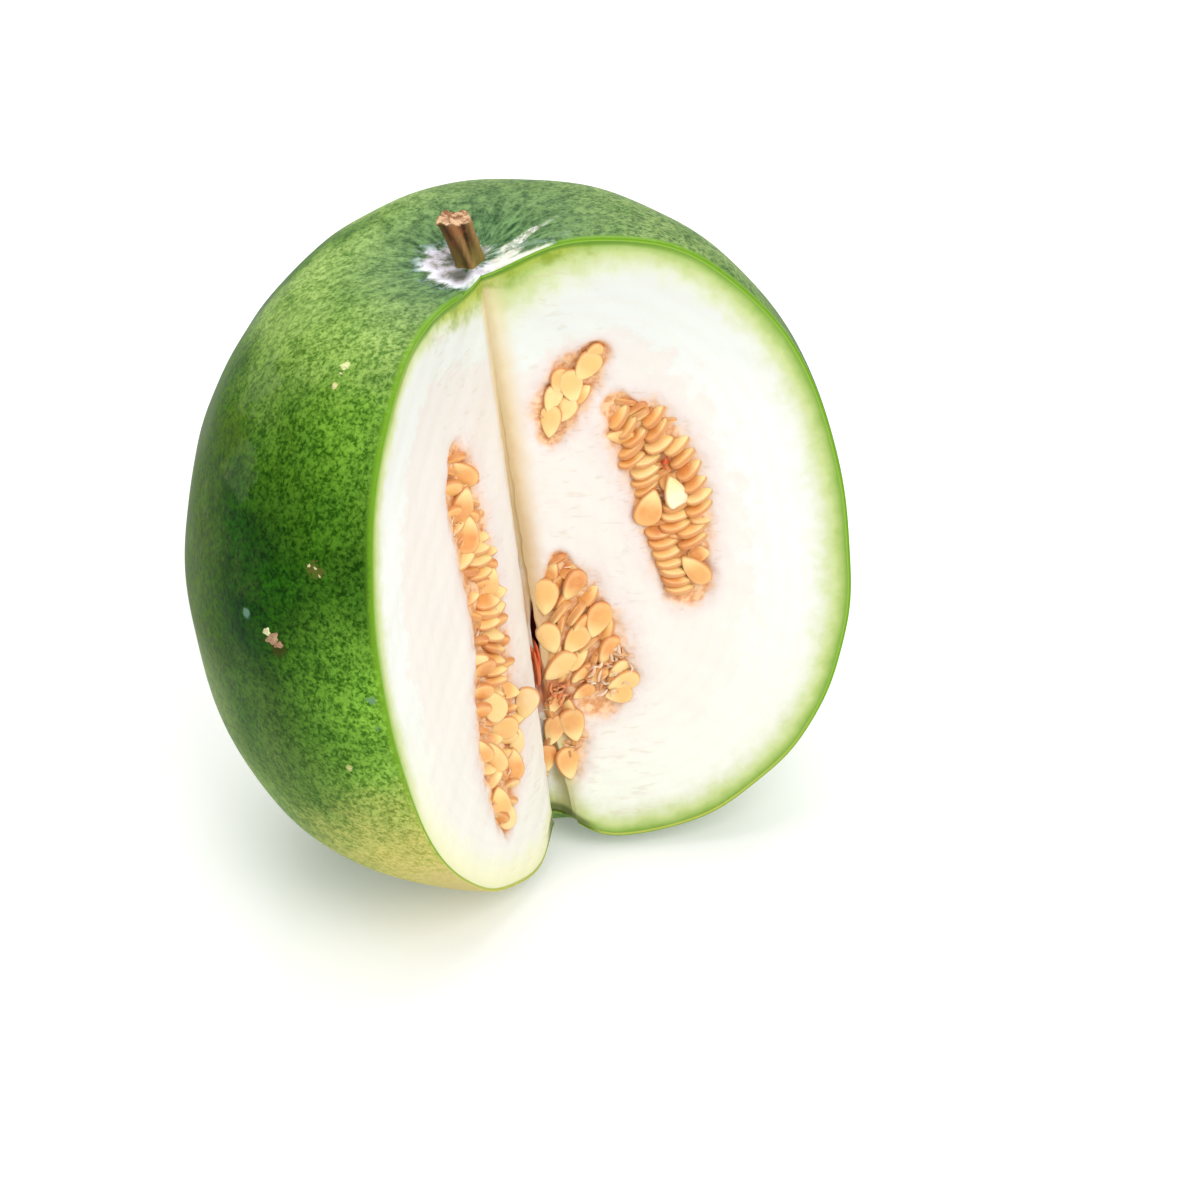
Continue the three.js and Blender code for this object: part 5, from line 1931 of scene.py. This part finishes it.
@dataclass
class StemStub:
    """Ribbed stalk that leans to the left and flares to its cut end."""

    form: MelonForm
    stance: Stance
    x: float = -4.5
    y: float = 1.8
    base_radius: float = 4.8
    waist_radius: float = 4.6
    end_radius: float = 5.5
    ribs: int = 5
    rib_depth: float = 0.5
    sunk: float = 4.0
    length: float = 20.0
    lean_x: float = -3.9
    lean_y: float = 1.2
    around: int = 90
    along: int = 70
    end_rings: int = 14
    foot_swell: float = 0.5
    crack_azimuth: float = 4.95
    crack_depth: float = 0.9
    bark: tuple = ((0.20, 0.8, 41), (0.16, 0.42, 42))
    torn_lip: tuple = (0.5, 1.4, 43)
    torn_end: tuple = (0.5, 1.1, 44)

    def centre(self, share: Array) -> Array:
        """Middle line: foot + length · share upwards, with a lean that grows as share^1.3 to the left."""
        sunken = self.form.stem_dimple.at(np.array(self.x), np.array(self.y))
        foot = self.form.top_rise - sunken - self.sunk
        x = self.x + self.lean_x * share**1.3
        return np.stack([x, self.y + self.lean_y * share, foot + self.length * share], axis=-1)

    def radius(self, share: Array) -> Array:
        """Radius that narrows to the waist and then flares with the square of the height."""
        lower = self.base_radius + (self.waist_radius - self.base_radius) * share * 2.0
        flare = np.maximum(share * 2.0 - 1.0, 0.0) ** 2
        upper = self.waist_radius + (self.end_radius - self.waist_radius) * flare
        return np.where(share < 0.5, lower, upper)

    def build(self) -> Piece:
        """The stub as one closed surface: foot, ribbed side, broken lip and the hollowed cut end.

        Returns:
            The piece.
        """
        angle = np.linspace(0.0, 2.0 * np.pi, self.around, endpoint=False)[None, :]
        share = np.linspace(0.0, 1.0, self.along)[:, None]
        wave = np.cos(self.ribs * angle + 2.0 * share)
        ridge = np.sign(wave) * np.abs(wave) ** 0.8
        radius = self.radius(share) + self.rib_depth * ridge
        radius = radius + self.foot_swell * smooth_step(0.25, 0.16, share)
        crack = bell(angle - self.crack_azimuth - 0.35 * share, 0.09) * smooth_step(0.2, 0.45, share)
        radius = radius - self.crack_depth * crack
        middle = self.centre(share[:, 0])
        rod = np.stack([np.cos(angle) * radius, np.sin(angle) * radius, np.zeros_like(radius)], axis=-1)
        points = middle[:, None] + rod
        rough = roughness(points * np.array([1.0, 1.0, 0.18]), *self.bark)
        points = points + unit(rod) * rough[..., None]
        lip = 7.2 * (0.06 * np.sin(3.0 * angle + 0.6) + 0.05 * np.sin(7.0 * angle))
        points[..., 2] += smooth_step(0.9, 1.0, share) * (lip + roughness(points, self.torn_lip))
        inner = np.linspace(1.0, 0.0, self.end_rings)[:, None]
        top = middle[-1] + (points[-1] - middle[-1])[None] * inner[..., None]
        cup = 1.0 - inner**2 + 0.35 * np.sin(inner * 9.0) * inner
        top[..., 2] -= cup + roughness(top, self.torn_end) * np.sin(np.pi * inner)
        top[-1] = top[-1].mean(axis=0)
        foot = np.broadcast_to(middle[0], (1, self.around, 3))
        surface = Surface()
        # Rib tone: lighter on the ridges, darker in the grooves and the crack, as painted shade.
        rib = np.clip(0.5 + 0.42 * ridge + 0.5 * rough - 0.8 * crack, 0.0, 1.0)
        rows = np.concatenate([share[:1], share])
        surface.add(
            self.stance.place(np.concatenate([foot, points])),
            ring=True,
            rib=np.concatenate([rib[:1], rib]),
            cut_end=smooth_step(0.965, 1.0, rows),
            # Side: 1 on the stalk's left, where its painted shade goes.
            side=np.clip(-np.cos(angle - 0.35), 0.0, 1.0),
            along=rows,
        )
        surface.add(self.stance.place(top), ring=True, rib=0.6, cut_end=1.0, side=0.0, along=1.0)
        return surface.build("stem_stub")


# Scabs on the skin


@dataclass
class Scabs:
    """Small raised scars, each (centre, half length, half width, height, spin, shade).

    The centre is in the part's frame in mm, the sizes are in mm and the spin is in radians.
    """

    form: MelonForm
    notch: Notch
    stance: Stance
    rings: int = 9
    around: int = 26
    edge_sink: float = 0.3
    under: float = 0.8
    bumps: tuple = ((0.22, 0.9, 51), (0.14, 0.5, 52))
    spots: tuple = (
        ((-76.8, -91.0, 128.6), 3.4, 2.0, 0.5, -0.72, 0.42),
        ((-78.7, -89.5, 130.2), 1.8, 1.5, 0.6, -0.5, 0.95),
        ((-74.6, -92.5, 127.2), 2.2, 1.2, 0.5, -0.4, 0.35),
        ((-53.7, -54.8, 207.0), 1.1, 0.8, 0.3, -0.9, 0.95),
        ((-54.9, -56.8, 205.6), 0.8, 0.5, 0.3, -0.4, 0.9),
        ((-56.6, -59.9, 202.8), 0.9, 0.7, 0.3, -0.6, 0.8),
        ((-62.2, -93.7, 156.4), 1.0, 0.5, 0.25, 0.3, 0.78),
        ((-64.6, -92.6, 156.8), 0.9, 0.6, 0.25, -0.8, 0.82),
        ((-61.0, -95.0, 154.4), 0.8, 0.4, 0.25, 0.9, 0.7),
        ((-53.5, -103.6, 87.1), 0.8, 0.5, 0.25, -0.4, 0.85),
    )

    def build(self) -> Piece:
        """All scabs as one mesh: domes of height · (1 - q²)^0.8 over ragged outlines, sunk at the edge.

        Returns:
            The piece.
        """
        surface = Surface()
        angle = np.linspace(0.0, 2.0 * np.pi, self.around, endpoint=False)[None, :]
        share = np.linspace(0.0, 1.0, self.rings)[:, None]
        back = np.linalg.inv(self.stance.turn)
        for number, (centre, long, short, height, spin, shade) in enumerate(self.spots):
            middle = (np.array(centre) - self.stance.shift) @ back
            direction = unit(middle - self.notch.heart)
            sideways = unit(np.cross(direction, [0.0, 0.0, 1.0]))
            upward = np.cross(sideways, direction)
            first = sideways * math.cos(spin) + upward * math.sin(spin)
            second = upward * math.cos(spin) - sideways * math.sin(spin)
            ragged = 1.0 + 0.16 * np.sin(3 * angle + number) + 0.12 * np.sin(5 * angle + 2.0 * number)
            flat = (share * ragged * np.cos(angle) * long)[..., None] * first
            flat = flat + (share * ragged * np.sin(angle) * short)[..., None] * second
            aim = unit(middle + flat - self.notch.heart)
            radius = self.form.reach(self.notch.heart, aim)
            points = self.notch.heart + radius[..., None] * aim
            bumps = roughness(points, *self.bumps) * (1.0 - share**4)
            rise = height * (1.0 - share**2) ** 0.8 + bumps - self.edge_sink * share**3
            dome = points + rise[..., None] * aim
            under = points - self.under * aim
            grid = np.concatenate([dome, under[::-1]])
            grid[0], grid[-1] = grid[0].mean(axis=0), grid[-1].mean(axis=0)
            surface.add(self.stance.place(grid), ring=True, shade=shade)
        return surface.build("scabs")


# Floor, light and camera


@dataclass(frozen=True)
class Softbox:
    """A square area light: where it stands, what it looks at, its size in metres and its power in watts."""

    name: str
    place: tuple
    aim: tuple
    size: float
    power: float
    colour: tuple = (1.0, 1.0, 1.0)


@dataclass
class Studio:
    """Plain pale floor, soft lights and the camera of the photograph."""

    effects: Effects
    floor_half: float = 6.0
    camera_place: tuple = (0.0265, -1.1287, 0.8169)
    camera_tilt: float = 57.0
    lens: float = 117.9
    sky: float = 0.42
    lights: tuple = (
        Softbox("key", (0.75, -1.15, 1.35), (0.0, 0.0, 0.11), 1.3, 22.5, (1.0, 1.0, 0.985)),
        Softbox("top", (-0.35, 0.1, 1.6), (0.0, 0.0, 0.1), 1.4, 13.0),
        Softbox("back", (0.1, 1.9, 1.5), (0.0, 0.9, 0.0), 1.6, 26.0),
        Softbox("front_fill", (-0.55, -1.5, 0.7), (0.0, 0.0, 0.12), 0.8, 1.5),
    )

    def build(self) -> None:
        """Makes the floor, the lights, the sky and the camera."""
        scene = bpy.context.scene
        half = self.floor_half
        mesh = bpy.data.meshes.new("floor")
        corners = [(x * half, y * half, 0.0) for x, y in ((-1, -1), (1, -1), (1, 1), (-1, 1))]
        mesh.from_pydata(corners, [], [(0, 1, 2, 3)])
        floor = bpy.data.objects.new("floor", mesh)
        scene.collection.objects.link(floor)
        mesh.materials.append(FloorFinish(self.effects).build())
        for box in self.lights:
            lamp = bpy.data.lights.new(box.name, "AREA")
            lamp.shape, lamp.size, lamp.energy, lamp.color = "SQUARE", box.size, box.power, box.colour
            piece = bpy.data.objects.new(box.name, lamp)
            scene.collection.objects.link(piece)
            piece.location = box.place
            toward = np.array(box.aim) - np.array(box.place)
            level = math.hypot(toward[0], toward[1])
            piece.rotation_euler = (math.atan2(level, -toward[2]), 0.0, math.atan2(-toward[0], toward[1]))
        world = bpy.data.worlds.new("soft sky")
        world.use_nodes = True
        backdrop = world.node_tree.nodes["Background"]
        backdrop.inputs["Color"].default_value = (1.0, 1.0, 1.0, 1.0)
        backdrop.inputs["Strength"].default_value = self.sky
        scene.world = world
        scene.view_settings.view_transform = "Standard"
        scene.view_settings.look = "None"
        camera = bpy.data.cameras.new("camera")
        camera.lens, camera.sensor_width = self.lens, 36.0
        camera.clip_start, camera.clip_end = 0.05, 50.0
        eye = bpy.data.objects.new("camera", camera)
        scene.collection.objects.link(eye)
        eye.location = self.camera_place
        eye.rotation_euler = (math.radians(self.camera_tilt), 0.0, 0.0)
        scene.camera = eye


def main() -> None:
    """Builds the pieces in order and reports each."""
    logging.basicConfig(level=logging.INFO, format="%(name)s: %(message)s")
    effects = Effects()
    form, notch = MelonForm(), Notch()
    stance = Stance(form, notch)
    fruit = Fruit(form, notch, stance)
    finish_piece(fruit.rind(), "rind", "melon", RindFinish(effects).build())
    finish_piece(fruit.flesh(), "flesh", "melon", FleshFinish(effects).build())
    finish_piece(Seeds(notch, stance).build(), "seed", "melon", SeedFinish(effects).build())
    finish_piece(Pulp(notch, stance).build(), "seed", "melon", PulpFinish(effects).build())
    finish_piece(Scabs(form, notch, stance).build(), "rind", "melon", ScabFinish(effects).build())
    finish_piece(StemStub(form, stance).build(), "stem", "stem", StemFinish(effects).build())
    Studio(effects).build()


if __name__ == "__main__":
    main()
